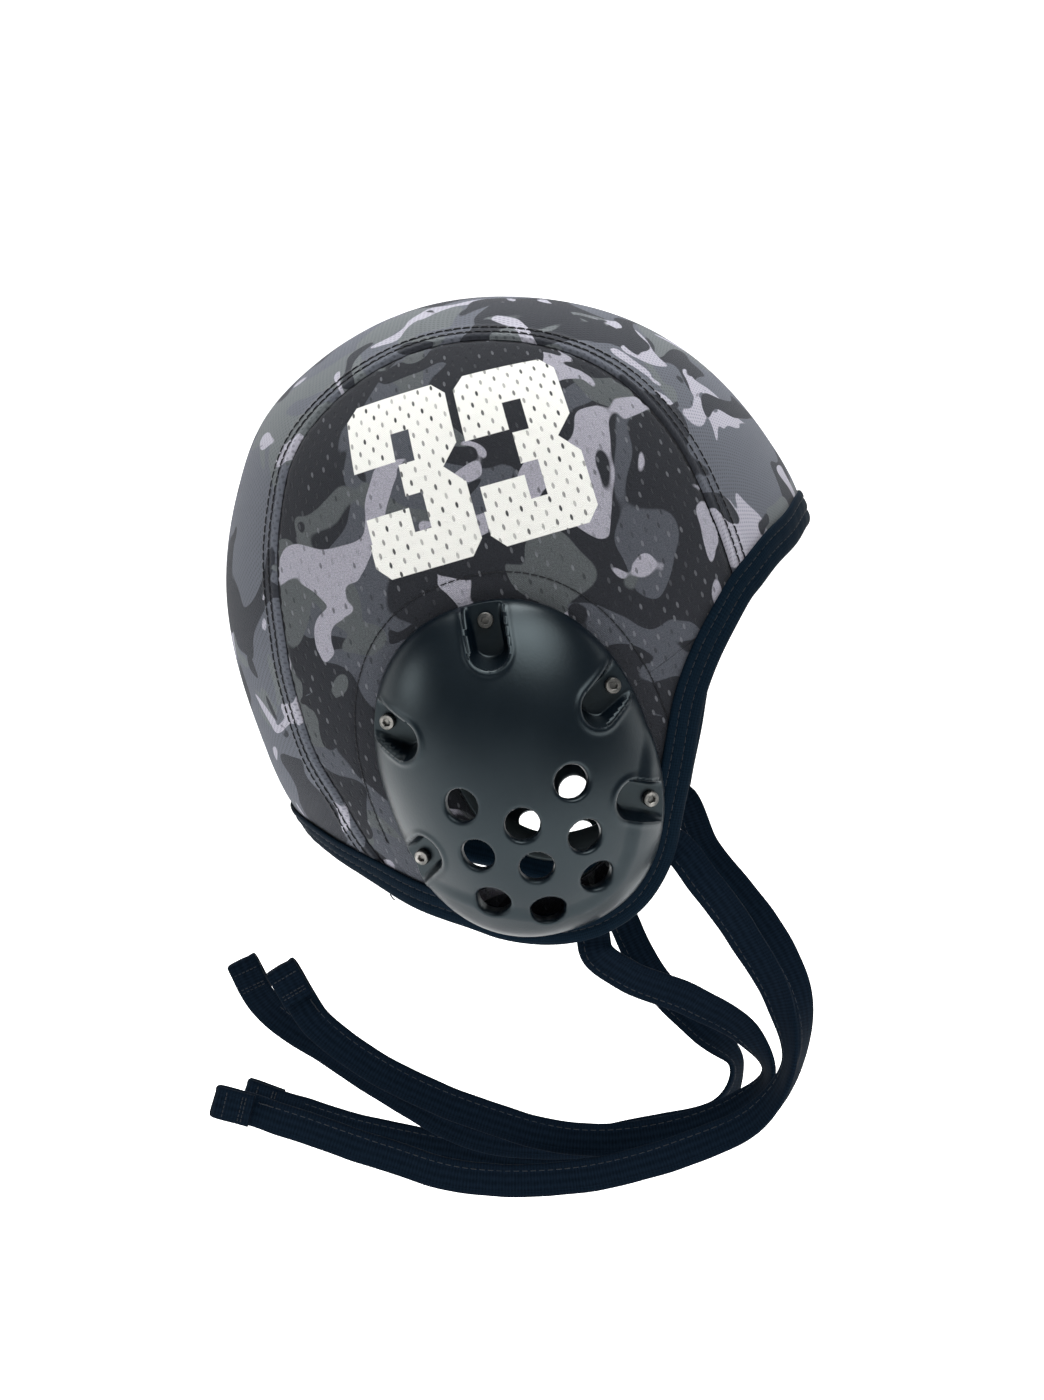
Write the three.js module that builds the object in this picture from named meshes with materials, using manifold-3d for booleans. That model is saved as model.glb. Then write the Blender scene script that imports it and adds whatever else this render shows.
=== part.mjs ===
// Water polo cap with ear guards and four tie tapes, in millimetres, +Z up.
// +X is the wearer's front and -Y the wearer's right. The head form is laid out about the middle
// of the head, and the finished cap is moved so that the inside top of its crown is the origin.
import * as THREE from 'three';
import { mergeVertices } from 'three/addons/utils/BufferGeometryUtils.js';
import Module from 'manifold-3d';

const wasm = await Module();
wasm.setup();

// Head form
const headRadius = 96;
const headHalfWidth = 78;
const headTaper = 0.05;
const headSquareness = 2.5;

// Cloth, seam and edge tape
const fabric = 1.5;
const gap = 0.3;
const seamGap = 0.3;
const tapeLeg = 0.8;
const tapeWidth = 11.5;
const tapeRoom = 0.6;

// Ear guards. Each fills its flap, so its place and outline follow the head form's radius.
const guardForward = 0.0615 * headRadius;
const guardDown = 0.546 * headRadius;
const guardLong = 0.552 * headRadius;
const guardShort = 0.4375 * headRadius;
const guardTilt = 107.7;
const guardSquareness = 2.25;
const guardDepth = 22;
const guardEdge = 2.5;
const guardWall = 2.6;
const guardLean = 0.15;
const guardRoundness = 2.3;
const guardFullness = 0.62;
const soundHole = 5.4;
const screwRecessWidth = 12.5;
const screwRecessLength = 20;
const screwRecessFloor = 3.4;
const screwInset = 5.6;

// Screws and the ring that they hold to
const screwHead = 2.5;
const screwHeadHeight = 1.7;
const screwSocket = 1.25;
const screwSocketDepth = 1.1;
const screwShank = 1.35;
const screwRoom = 0.35;
const footGap = 0.45;
const footRoom = 0.85;
const footClear = 0.5;
const footBlend = 4.5;
const ringThickness = 2;
const ringInner = 0.79;
const ringOuter = 0.96;
const earOpening = 0.77;

// Tie tapes
const tieWidth = 10.8;
const tieThickness = 2.2;
const tieFold = 13;
const tieFoldStep = 1.2;
const tieSewn = 4.6;
const tieFacingTurn = 40;
const tieSwing = 100;
const tieHang = 100;

// How fine the meshes are
const seamSteps = 28;
const seamCrowding = 0.07;
const guardSteps = 26;
const guardRows = 5;
const tieSteps = 24;
const boreSides = 6;
const roundSides = 8;
const recessRoundSteps = 3;
const probeStep = 0.02;

// The profile from the side: how far the head form reaches at each angle about its middle,
// 0 forward and 90 up, as shares of headRadius.
const profile = [
  { angle: -90, reach: 1.615 },
  { angle: -75, reach: 1.646 },
  { angle: -60, reach: 1.48 },
  { angle: -45, reach: 1.27 },
  { angle: -30, reach: 1.083 },
  { angle: -12, reach: 1.02 },
  { angle: 6, reach: 1.005 },
  { angle: 18, reach: 1.003 },
  { angle: 30, reach: 0.985 },
  { angle: 48, reach: 0.974 },
  { angle: 66, reach: 0.971 },
  { angle: 90, reach: 0.973 },
  { angle: 114, reach: 0.994 },
  { angle: 132, reach: 1.013 },
  { angle: 147, reach: 1.025 },
  { angle: 162, reach: 1.002 },
  { angle: 180, reach: 0.994 },
  { angle: 198, reach: 0.998 },
  { angle: 210, reach: 1.019 },
  { angle: 222, reach: 1.069 },
  { angle: 234, reach: 1.125 },
  { angle: 246, reach: 1.224 },
  { angle: 258, reach: 1.427 },
];

// The cap's lower edge on the right, from the middle of the forehead round the ear flap to the
// nape: the angle about the head's middle, and the distance from the centre plane as a share of
// headHalfWidth. The rows marked seam are where the panel seam meets the edge.
const edge = [
  { angle: 11.5, side: 0 },
  { angle: 11.1, side: 0.165 },
  { angle: 9, side: 0.32 },
  { angle: 6, side: 0.485 },
  { angle: 1.8, side: 0.587 },
  { angle: -2.5, side: 0.65, seam: true },
  { angle: -13.8, side: 0.722 },
  { angle: -24.5, side: 0.746 },
  { angle: -34.3, side: 0.758 },
  { angle: -42.6, side: 0.765 },
  { angle: -49.6, side: 0.76 },
  { angle: -55.7, side: 0.742 },
  { angle: -60.6, side: 0.731 },
  { angle: -65.3, side: 0.731 },
  { angle: -70.2, side: 0.742 },
  { angle: -75, side: 0.753 },
  { angle: -80.2, side: 0.763 },
  { angle: -85.2, side: 0.77 },
  { angle: -90.2, side: 0.772 },
  { angle: -95.4, side: 0.762 },
  { angle: -101.2, side: 0.722 },
  { angle: -107.6, side: 0.652, seam: true },
  { angle: -113.8, side: 0.558 },
  { angle: -120, side: 0.452 },
  { angle: -125.5, side: 0.325 },
  { angle: -128.6, side: 0.17 },
  { angle: -129.6, side: 0 },
];

// The seam between the centre panel and a side panel, from the forehead over the crown to the
// nape. Its two ends come from the edge's rows.
const seam = [
  { angle: 6, side: 0.69 },
  { angle: 20, side: 0.711 },
  { angle: 32, side: 0.692 },
  { angle: 45, side: 0.661 },
  { angle: 67, side: 0.602 },
  { angle: 91, side: 0.572 },
  { angle: 114, side: 0.582 },
  { angle: 139, side: 0.641 },
  { angle: 162, side: 0.712 },
  { angle: 187, side: 0.758 },
  { angle: 202, side: 0.742 },
  { angle: 218, side: 0.717 },
  { angle: 232, side: 0.696 },
  { angle: 242, side: 0.658 },
];

// Sound holes: the angle about the guard's middle and the share of the way out to its edge.
const soundHoles = [
  { angle: 4, out: 0.43 },
  { angle: 202, out: 0.4 },
  { angle: 286, out: 0.23 },
  { angle: 324, out: 0.55 },
  { angle: 244, out: 0.51 },
  { angle: 286, out: 0.51 },
  { angle: 310, out: 0.76 },
  { angle: 260, out: 0.75 },
  { angle: 284, out: 0.8 },
];

// Where the five screws sit around the guard's edge.
const screwAngles = [101, 43, 348, 224, 158];

// Routes of the ties from where each is sewn inside the flap: ahead as a share of tieSwing, side
// as a share of the sewn end's distance from the centre plane, down as a share of tieHang, and
// turn, the degrees by which the tape shows its edge instead of its face.
const ties = [
  {
    name: 'tie_right_lower', hand: -1, anchor: 15, route: [
      { ahead: 0.03, side: 0.95, down: 0.12, turn: 0 },
      { ahead: 0.13, side: 0.87, down: 0.2, turn: 0 },
      { ahead: 0.33, side: 0.68, down: 0.3, turn: 5 },
      { ahead: 0.5, side: 0.52, down: 0.42, turn: 30 },
      { ahead: 0.57, side: 0.45, down: 0.56, turn: 72 },
      { ahead: 0.47, side: 0.43, down: 0.67, turn: 45 },
      { ahead: 0.25, side: 0.42, down: 0.76, turn: 15 },
      { ahead: -0.05, side: 0.42, down: 0.79, turn: 5 },
      { ahead: -0.35, side: 0.42, down: 0.72, turn: 0 },
      { ahead: -0.67, side: 0.4, down: 0.59, turn: 0 },
      { ahead: -0.91, side: 0.39, down: 0.42, turn: 0 },
      { ahead: -1.03, side: 0.37, down: 0.24, turn: 0 },
    ],
  },
  {
    name: 'tie_right_front', hand: -1, anchor: 11, route: [
      { ahead: 0.15, side: 0.92, down: 0.13, turn: 0 },
      { ahead: 0.28, side: 0.82, down: 0.32, turn: 10 },
      { ahead: 0.39, side: 0.78, down: 0.53, turn: 35 },
      { ahead: 0.42, side: 0.77, down: 0.73, turn: 70 },
      { ahead: 0.32, side: 0.74, down: 0.9, turn: 45 },
      { ahead: 0.07, side: 0.69, down: 1.03, turn: 15 },
      { ahead: -0.26, side: 0.62, down: 1.13, turn: 5 },
      { ahead: -0.63, side: 0.6, down: 1.14, turn: 0 },
      { ahead: -0.9, side: 0.58, down: 1.07, turn: 0 },
      { ahead: -1.22, side: 0.55, down: 0.97, turn: 0 },
      { ahead: -1.45, side: 0.53, down: 0.91, turn: 0 },
    ],
  },
  {
    name: 'tie_left_lower', hand: 1, anchor: 15, route: [
      { ahead: 0.05, side: 0.93, down: 0.17, turn: 0 },
      { ahead: 0.18, side: 0.76, down: 0.39, turn: 0 },
      { ahead: 0.34, side: 0.58, down: 0.53, turn: 20 },
      { ahead: 0.46, side: 0.47, down: 0.64, turn: 70 },
      { ahead: 0.41, side: 0.44, down: 0.78, turn: 50 },
      { ahead: 0.14, side: 0.42, down: 0.87, turn: 20 },
      { ahead: -0.12, side: 0.4, down: 0.92, turn: 10 },
      { ahead: -0.42, side: 0.37, down: 0.89, turn: 0 },
      { ahead: -0.66, side: 0.35, down: 0.77, turn: 0 },
      { ahead: -0.92, side: 0.32, down: 0.6, turn: 0 },
      { ahead: -1.13, side: 0.3, down: 0.45, turn: 0 },
      { ahead: -1.22, side: 0.28, down: 0.29, turn: 0 },
    ],
  },
  {
    name: 'tie_left_front', hand: 1, anchor: 11, route: [
      { ahead: 0.13, side: 0.91, down: 0.18, turn: 0 },
      { ahead: 0.34, side: 0.74, down: 0.43, turn: 10 },
      { ahead: 0.46, side: 0.62, down: 0.66, turn: 45 },
      { ahead: 0.46, side: 0.6, down: 0.87, turn: 72 },
      { ahead: 0.33, side: 0.58, down: 1.07, turn: 45 },
      { ahead: 0.13, side: 0.56, down: 1.16, turn: 20 },
      { ahead: -0.11, side: 0.54, down: 1.22, turn: 10 },
      { ahead: -0.44, side: 0.53, down: 1.25, turn: 0 },
      { ahead: -0.72, side: 0.51, down: 1.2, turn: 0 },
      { ahead: -1.06, side: 0.48, down: 1.13, turn: 0 },
      { ahead: -1.44, side: 0.46, down: 1.01, turn: 0 },
    ],
  },
];

const clothPrint = material('#565a62', 0.85);
const crownKnit = material('#6c7077', 0.85);
const navyTape = material('#12212c', 0.8);
const tieTape = material('#0d1a24', 0.8);
const guardPlastic = material('#1c2a30', 0.38);
const ringPlastic = material('#11181c', 0.5);
const screwSteel = material('#23282b', 0.35, 0.9);

function material(color, roughness, metalness = 0) {
  return new THREE.MeshStandardMaterial({ color, roughness, metalness });
}

// The head form: a surface that every cloth piece follows.

const profileAngles = [-360, 0, 360].flatMap((turn) => profile.map((row) => row.angle + turn));
const profileReaches = [0, 1, 2].flatMap(() => profile.map((row) => row.reach * headRadius));
const profileCurve = new THREE.CubicInterpolant(profileAngles, profileReaches, 1);

function reachAt(x, z) {
  return profileCurve.evaluate(THREE.MathUtils.radToDeg(Math.atan2(z, x)))[0];
}

function halfWidthAt(x) {
  return headHalfWidth * (1 - headTaper * x / headRadius);
}

function level(point) {
  const across = Math.abs(point.y) / halfWidthAt(point.x);
  const along = Math.hypot(point.x, point.z) / reachAt(point.x, point.z);
  return across ** 2 + along ** headSquareness - 1;
}

function slope(point) {
  const step = 0.01;
  const along = (axis) => {
    const ahead = level(point.clone().addScaledVector(axis, step));
    const behind = level(point.clone().addScaledVector(axis, -step));
    return (ahead - behind) / (2 * step);
  };
  const x = along(new THREE.Vector3(1, 0, 0));
  const y = along(new THREE.Vector3(0, 1, 0));
  const z = along(new THREE.Vector3(0, 0, 1));
  return new THREE.Vector3(x, y, z);
}

function outward(point) {
  return slope(point).normalize();
}

function settle(point) {
  const settled = point.clone();
  for (let round = 0; round < 4; round += 1) {
    const steepness = slope(settled);
    settled.addScaledVector(steepness, -level(settled) / steepness.lengthSq());
  }
  return settled;
}

function raise(point, height) {
  return point.clone().addScaledVector(outward(point), height);
}

// A point of the head form at an angle about its middle and a signed distance from its centre plane.
function atAngle(angle, y) {
  const turn = THREE.MathUtils.degToRad(angle);
  const point = new THREE.Vector3(Math.cos(turn) * headRadius, y, Math.sin(turn) * headRadius);
  for (let round = 0; round < 6; round += 1) {
    const across = y / halfWidthAt(point.x);
    const share = (1 - across ** 2) ** (1 / headSquareness);
    const reach = share * reachAt(Math.cos(turn), Math.sin(turn));
    point.x = Math.cos(turn) * reach;
    point.z = Math.sin(turn) * reach;
  }
  return point;
}

// A point on the right side of the head form, under a place in the side view.
function atSide(x, z) {
  const along = Math.hypot(x, z) / reachAt(x, z);
  return new THREE.Vector3(x, -halfWidthAt(x) * Math.sqrt(1 - along ** headSquareness), z);
}

// The closed lower edge, with the left half as the mirror of the right.

const edgeCurve = new THREE.SplineCurve(edge.map((row) => new THREE.Vector2(row.angle, row.side)));
const edgeLast = edge.length - 1;
const seamRows = edge.flatMap((row, index) => (row.seam ? [index] : []));
const [seamFront, seamBack] = seamRows;

const rightEdge = edge.map((row, index) => {
  const at = edgeCurve.getPoint(index / edgeLast);
  return atAngle(at.x, -at.y * headHalfWidth);
});
const leftEdge = rightEdge.slice(1, -1).reverse().map(mirrored);
const edgeLoop = [...rightEdge, ...leftEdge];

function mirrored(point) {
  return new THREE.Vector3(point.x, -point.y, point.z);
}

function wrap(index, count) {
  return ((index % count) + count) % count;
}

// A place on the head form, a distance in from the lower edge at one of the edge's stations.
function inFromEdge(index, distance) {
  const here = edgeLoop[wrap(index, edgeLoop.length)];
  const before = edgeLoop[wrap(index - 1, edgeLoop.length)];
  const after = edgeLoop[wrap(index + 1, edgeLoop.length)];
  const inward = after.clone().sub(before).cross(outward(here)).normalize();
  return settle(here.clone().addScaledVector(inward, distance));
}

const clothInset = tapeLeg + tapeRoom;
const seamStart = inFromEdge(seamFront, clothInset);
const seamEnd = inFromEdge(seamBack, clothInset);

function angleOf(point) {
  return THREE.MathUtils.radToDeg(Math.atan2(point.z, point.x));
}

const seamAngles = [angleOf(seamStart), ...seam.map((row) => row.angle), angleOf(seamEnd) + 360];
const seamSides = [
  Math.abs(seamStart.y),
  ...seam.map((row) => row.side * headHalfWidth),
  Math.abs(seamEnd.y),
];
const seamCurve = new THREE.CubicInterpolant(seamAngles, seamSides, 1);

// Shares of the way along the seam for even steps, crowded a little towards its two ends.
function seamShare(step) {
  const share = step / seamSteps;
  return share - seamCrowding * Math.sin(2 * Math.PI * share);
}

function seamAngle(share) {
  return THREE.MathUtils.lerp(seamAngles[0], seamAngles[seamAngles.length - 1], share);
}

function seamSide(share) {
  return seamCurve.evaluate(seamAngle(share))[0];
}

// Turns a three.js geometry into one closed mesh: its vertices are moved to the places that a
// function gives for them, doubles are merged, flat triangles dropped and the faces turned out.
function shaped(geometry, place) {
  const source = geometry.getAttribute('position');
  const places = new Float32Array(source.count * 3);
  for (let index = 0; index < source.count; index += 1) {
    const from = new THREE.Vector3().fromBufferAttribute(source, index);
    place(from, index).toArray(places, index * 3);
  }
  const moved = new THREE.BufferGeometry();
  moved.setAttribute('position', new THREE.BufferAttribute(places, 3));
  moved.setIndex(geometry.getIndex().clone());
  moved.setIndex(shorterDiagonals(moved));
  const merged = mergeVertices(moved, 1e-3);
  const corners = Array.from(merged.getIndex().array);
  const kept = [];
  for (let index = 0; index < corners.length; index += 3) {
    const [a, b, c] = corners.slice(index, index + 3);
    if (a !== b && b !== c && c !== a) {
      kept.push(a, b, c);
    }
  }
  merged.setIndex(kept);
  if (volume(merged) < 0) {
    kept.reverse();
    merged.setIndex(kept);
  }
  return merged;
}

// Parts each four-sided face along the shorter of its two diagonals.
function shorterDiagonals(geometry) {
  const position = geometry.getAttribute('position');
  const source = Array.from(geometry.getIndex().array);
  const at = (index) => new THREE.Vector3().fromBufferAttribute(position, index);
  const result = [];
  for (let index = 0; index < source.length; index += 6) {
    const [a, b, d] = source.slice(index, index + 3);
    const c = source.slice(index + 3, index + 6).find((corner) => corner !== b && corner !== d);
    if (at(a).distanceTo(at(c)) < at(b).distanceTo(at(d))) {
      result.push(a, b, c, a, c, d);
    } else {
      result.push(a, b, d, b, c, d);
    }
  }
  return result;
}

function volume(geometry) {
  const position = geometry.getAttribute('position');
  const corners = geometry.getIndex().array;
  const [a, b, c] = [new THREE.Vector3(), new THREE.Vector3(), new THREE.Vector3()];
  let total = 0;
  for (let index = 0; index < corners.length; index += 3) {
    a.fromBufferAttribute(position, corners[index]);
    b.fromBufferAttribute(position, corners[index + 1]);
    c.fromBufferAttribute(position, corners[index + 2]);
    total += a.dot(b.cross(c)) / 6;
  }
  return total;
}

// A closed band: a ring of stations, each with the same closed section of corners.
function band(stations, corners, place) {
  const outline = Array.from({ length: corners + 1 }, (_, index) => {
    const turn = 2 * Math.PI * index / corners;
    return new THREE.Vector2(2 + Math.cos(turn), Math.sin(turn));
  });
  const lathe = new THREE.LatheGeometry(outline, stations);
  return shaped(lathe, (_, index) => {
    const station = wrap(Math.floor(index / (corners + 1)), stations);
    const corner = wrap(index, corners + 1) % corners;
    return place(station, corner);
  });
}

// A closed cap of revolution: a section of points whose first and last lie on the axis.
function spunCap(stations, points, place) {
  const outline = Array.from({ length: points }, (_, index) => {
    const turn = Math.PI * index / (points - 1);
    return new THREE.Vector2(Math.sin(turn), -Math.cos(turn));
  });
  outline[0].x = 0;
  outline[points - 1].x = 0;
  const lathe = new THREE.LatheGeometry(outline, stations);
  return shaped(lathe, (_, index) => {
    const station = wrap(Math.floor(index / points), stations);
    return place(station, wrap(index, points));
  });
}

function toSolid(geometry) {
  const bare = geometry.clone();
  bare.deleteAttribute('normal');
  bare.deleteAttribute('uv');
  const merged = mergeVertices(bare, 1e-4);
  return new wasm.Manifold(new wasm.Mesh({
    numProp: 3,
    vertProperties: new Float32Array(merged.getAttribute('position').array),
    triVerts: new Uint32Array(merged.getIndex().array),
  }));
}

function toGeometry(solid) {
  const mesh = solid.getMesh();
  const geometry = new THREE.BufferGeometry();
  geometry.setAttribute('position', new THREE.BufferAttribute(mesh.vertProperties, 3));
  geometry.setIndex(Array.from(mesh.triVerts));
  return geometry;
}

// Cloth panels

function centrePanel() {
  const columns = 2 * seamFront;
  const box = new THREE.BoxGeometry(1, 1, 1, seamSteps, columns, 1);
  return shaped(box, (from) => {
    const share = seamShare(Math.round((from.x + 0.5) * seamSteps));
    const column = Math.round((from.y + 0.5) * columns) - seamFront;
    const point = centreCloth(share, column);
    return from.z > 0 ? point : raise(point, -fabric);
  });
}

// The centre panel's cloth, a share of the way from forehead to nape. Columns count from the
// centre plane to the seam, negative to the right.
function centreCloth(share, column) {
  const steps = Math.abs(column);
  const front = inFromEdge(steps, clothInset);
  const back = inFromEdge(edgeLast - steps, clothInset);
  if (share === 0 || share === 1) {
    const end = share === 0 ? front : back;
    return column > 0 ? mirrored(end) : end;
  }
  const frontShare = Math.abs(front.y) / seamSides[0];
  const backShare = Math.abs(back.y) / seamSides[seamSides.length - 1];
  const side = seamSide(share) * THREE.MathUtils.lerp(frontShare, backShare, share);
  const angle = THREE.MathUtils.lerp(angleOf(front), angleOf(back) + 360, share);
  return atAngle(angle, Math.sign(column) * side);
}

// The stations round a right side panel: along the seam, then back along the lower edge.
const sideStations = [];
for (let step = 0; step <= seamSteps; step += 1) {
  const share = seamShare(step);
  sideStations.push(atAngle(seamAngle(share), -seamSide(share) - seamGap));
}
for (let index = seamBack - 1; index > seamFront; index -= 1) {
  sideStations.push(inFromEdge(index, clothInset));
}

const sideRows = [0, 0.28, 0.55, 0.8, 1];

function sidePanel() {
  const corners = 2 * sideRows.length;
  return band(sideStations.length, corners, (station, corner) => {
    const row = corner < sideRows.length ? corner : corners - 1 - corner;
    const point = sideCloth(station, sideRows[row]);
    return corner < sideRows.length ? point : raise(point, -fabric);
  });
}

function sideCloth(station, share) {
  const outer = sideStations[station];
  if (share === 0) {
    return outer;
  }
  const angle = Math.atan2(outer.z + guardDown, outer.x - guardForward);
  const inner = guardPlace(angle, earOpening);
  const x = THREE.MathUtils.lerp(outer.x, inner.x, share);
  const z = THREE.MathUtils.lerp(outer.z, inner.z, share);
  return atSide(x, z);
}

// The tape folded over the cap's lower edge, a channel that holds the cloth.
function edgeBinding() {
  const outerFace = tapeRoom + tapeLeg;
  const innerFace = -fabric - tapeRoom - tapeLeg;
  const section = [
    { inset: 0, height: innerFace },
    { inset: 0, height: outerFace },
    { inset: tapeWidth, height: outerFace },
    { inset: tapeWidth, height: tapeRoom },
    { inset: tapeLeg, height: tapeRoom },
    { inset: tapeLeg, height: -fabric - tapeRoom },
    { inset: tapeWidth, height: -fabric - tapeRoom },
    { inset: tapeWidth, height: innerFace },
  ];
  return band(edgeLoop.length, section.length, (station, corner) => {
    const { inset, height } = section[corner];
    return raise(inFromEdge(station, inset), height);
  });
}

// Ear guards

// A place in the side view, at an angle about the guard's middle and a share of the way out.
function guardPlace(angle, share) {
  const turn = angle - THREE.MathUtils.degToRad(guardTilt);
  const long = Math.abs(Math.cos(turn) / guardLong) ** guardSquareness;
  const short = Math.abs(Math.sin(turn) / guardShort) ** guardSquareness;
  const reach = share * (long + short) ** (-1 / guardSquareness);
  const x = guardForward + reach * Math.cos(angle);
  const z = -guardDown + reach * Math.sin(angle);
  return { x, z };
}

// The right half of the lower edge in the side view, as straight lines from station to station.
const edgeFlat = rightEdge.map((point) => new THREE.Vector3(point.x, 0, point.z));
const edgeLines = edgeFlat.slice(1).map((point, index) => new THREE.Line3(edgeFlat[index], point));

// How high above the cloth the guard's foot stands: over the edge tape it rides on the tape.
function footHeight(x, z) {
  const place = new THREE.Vector3(x, 0, z);
  const nearest = Math.min(...edgeLines.map((line) => {
    return line.closestPointToPoint(place, true, new THREE.Vector3()).distanceTo(place);
  }));
  const blendStart = tapeWidth + footClear;
  const clear = THREE.MathUtils.smoothstep(nearest, blendStart, blendStart + footBlend);
  return footGap + (1 - clear) * (tapeRoom + tapeLeg + footRoom - footGap);
}

function guardBase(angle, share) {
  const { x, z } = guardPlace(angle, share);
  const foot = atSide(x, z);
  return foot.addScaledVector(outward(foot), footHeight(x, z));
}

function domeRise(share, rise) {
  return rise * Math.max(0, 1 - share ** guardRoundness) ** guardFullness;
}

function lifted(base, height, rise) {
  return base.add(new THREE.Vector3(0, -height - rise, -guardLean * rise));
}

function domeOutside(angle, share) {
  return lifted(guardBase(angle, share), guardEdge, domeRise(share, guardDepth - guardEdge));
}

const guardInnerShare = 1 - guardWall / guardShort;

function domeInside(angle, share) {
  const rise = domeRise(share, guardDepth - guardWall);
  return lifted(guardBase(angle, share * guardInnerShare), 0, rise);
}

const rowShares = Array.from({ length: guardRows + 1 }, (_, row) => {
  return Math.sin(0.5 * Math.PI * row / guardRows);
});

function stationAngle(station) {
  return 2 * Math.PI * station / guardSteps;
}

// The hollow under the dome, carried down through the guard's foot.
function domeCavity() {
  const rows = rowShares.length;
  return spunCap(guardSteps, rows + 2, (station, point) => {
    const angle = stationAngle(station);
    if (point < 2) {
      return lifted(guardBase(angle, point * guardInnerShare), -guardWall, 0);
    }
    return domeInside(angle, rowShares[rows + 1 - point]);
  });
}

function domeFull() {
  const baseShares = [0, 0.5, 0.8, 1];
  const rows = rowShares.length;
  return spunCap(guardSteps, baseShares.length + rows, (station, point) => {
    const angle = stationAngle(station);
    if (point < baseShares.length) {
      return guardBase(angle, baseShares[point]);
    }
    return domeOutside(angle, rowShares[rows - 1 - (point - baseShares.length)]);
  });
}

// The screw's own frame: its place on the guard's foot, X out to the guard's edge, Z off the head.
function screwFrame(degrees) {
  const angle = THREE.MathUtils.degToRad(degrees);
  const rim = guardBase(angle, 1);
  const centre = guardBase(angle, 0);
  const reach = Math.hypot(rim.x - centre.x, rim.z - centre.z);
  const place = guardBase(angle, 1 - screwInset / reach);
  const up = outward(place);
  const along = rim.clone().sub(place);
  along.addScaledVector(up, -along.dot(up)).normalize();
  const frame = new THREE.Matrix4().makeBasis(along, up.clone().cross(along), up);
  return frame.setPosition(place);
}

// A straight-sided block with one round end, open towards the guard's edge.
function recessBlock(halfWidth, from, to) {
  const inner = screwRecessLength - screwInset - screwRecessWidth / 2;
  const outer = screwRecessLength;
  const shape = new THREE.Shape();
  shape.moveTo(outer, -halfWidth);
  shape.lineTo(outer, halfWidth);
  shape.lineTo(-inner, halfWidth);
  shape.absarc(-inner, 0, halfWidth, Math.PI / 2, 1.5 * Math.PI, false);
  shape.closePath();
  const options = { depth: to - from, bevelEnabled: false, curveSegments: recessRoundSteps };
  const block = new THREE.ExtrudeGeometry(shape, options);
  return block.translate(0, 0, from);
}

function rod(radius, from, to, sides) {
  const geometry = new THREE.CylinderGeometry(radius, radius, to - from, sides);
  return geometry.rotateX(Math.PI / 2).translate(0, 0, (from + to) / 2);
}

function screwBore() {
  return rod(screwShank + screwRoom, -guardDepth, guardDepth, boreSides);
}

const ringTop = -(fabric + tapeRoom + tapeLeg + footRoom);

function earGuard() {
  const half = screwRecessWidth / 2;
  let cavity = toSolid(domeCavity());
  for (const degrees of screwAngles) {
    const lining = recessBlock(half + guardWall, -guardDepth, 2 * guardDepth);
    cavity = cavity.subtract(toSolid(lining.applyMatrix4(screwFrame(degrees))));
  }
  let guard = toSolid(domeFull()).subtract(cavity);
  for (const degrees of screwAngles) {
    const frame = screwFrame(degrees);
    const recess = recessBlock(half, screwRecessFloor, 2 * guardDepth).applyMatrix4(frame);
    const bore = screwBore().applyMatrix4(frame);
    guard = guard.subtract(toSolid(recess)).subtract(toSolid(bore));
  }
  for (const hole of soundHoles) {
    guard = guard.subtract(toSolid(soundHoleCutter(hole)));
  }
  return toGeometry(guard);
}

const cutterReach = 2.5 * guardWall;

// A rod square to the dome at a sound hole.
function soundHoleCutter({ angle, out }) {
  const turn = THREE.MathUtils.degToRad(angle);
  const place = domeOutside(turn, out);
  const further = domeOutside(turn, out + probeStep);
  const alongOut = further.sub(domeOutside(turn, out - probeStep));
  const turned = domeOutside(turn + probeStep, out);
  const alongTurn = turned.sub(domeOutside(turn - probeStep, out));
  const up = alongTurn.cross(alongOut).normalize();
  if (up.y > 0) {
    up.negate();
  }
  const upright = new THREE.Quaternion().setFromUnitVectors(new THREE.Vector3(0, 0, 1), up);
  const cutter = rod(soundHole, -cutterReach, cutterReach, roundSides);
  return cutter.applyQuaternion(upright).translate(place.x, place.y, place.z);
}

// The ring inside the cloth that the screws draw the guard against.
function guardRing() {
  const section = [
    { share: ringInner, height: ringTop - ringThickness },
    { share: ringInner, height: ringTop },
    { share: ringOuter, height: ringTop },
    { share: ringOuter, height: ringTop - ringThickness },
  ];
  const ring = band(guardSteps, section.length, (station, corner) => {
    const { share, height } = section[corner];
    const { x, z } = guardPlace(stationAngle(station), share);
    return raise(atSide(x, z), height);
  });
  return toGeometry(drilled(toSolid(ring)));
}

// Cuts the five screws' clearance holes.
function drilled(solid) {
  let rest = solid;
  for (const degrees of screwAngles) {
    rest = rest.subtract(toSolid(screwBore().applyMatrix4(screwFrame(degrees))));
  }
  return rest;
}

function guardScrew(degrees) {
  const foot = screwRecessFloor + gap;
  const tip = ringTop - ringThickness;
  const top = foot + screwHeadHeight;
  const head = toSolid(rod(screwHead, foot, top, roundSides));
  const shank = toSolid(rod(screwShank, tip, foot + gap, boreSides));
  const socket = toSolid(rod(screwSocket, top - screwSocketDepth, top + gap, boreSides));
  return toGeometry(head.add(shank).subtract(socket)).applyMatrix4(screwFrame(degrees));
}

// Tie tapes

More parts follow.
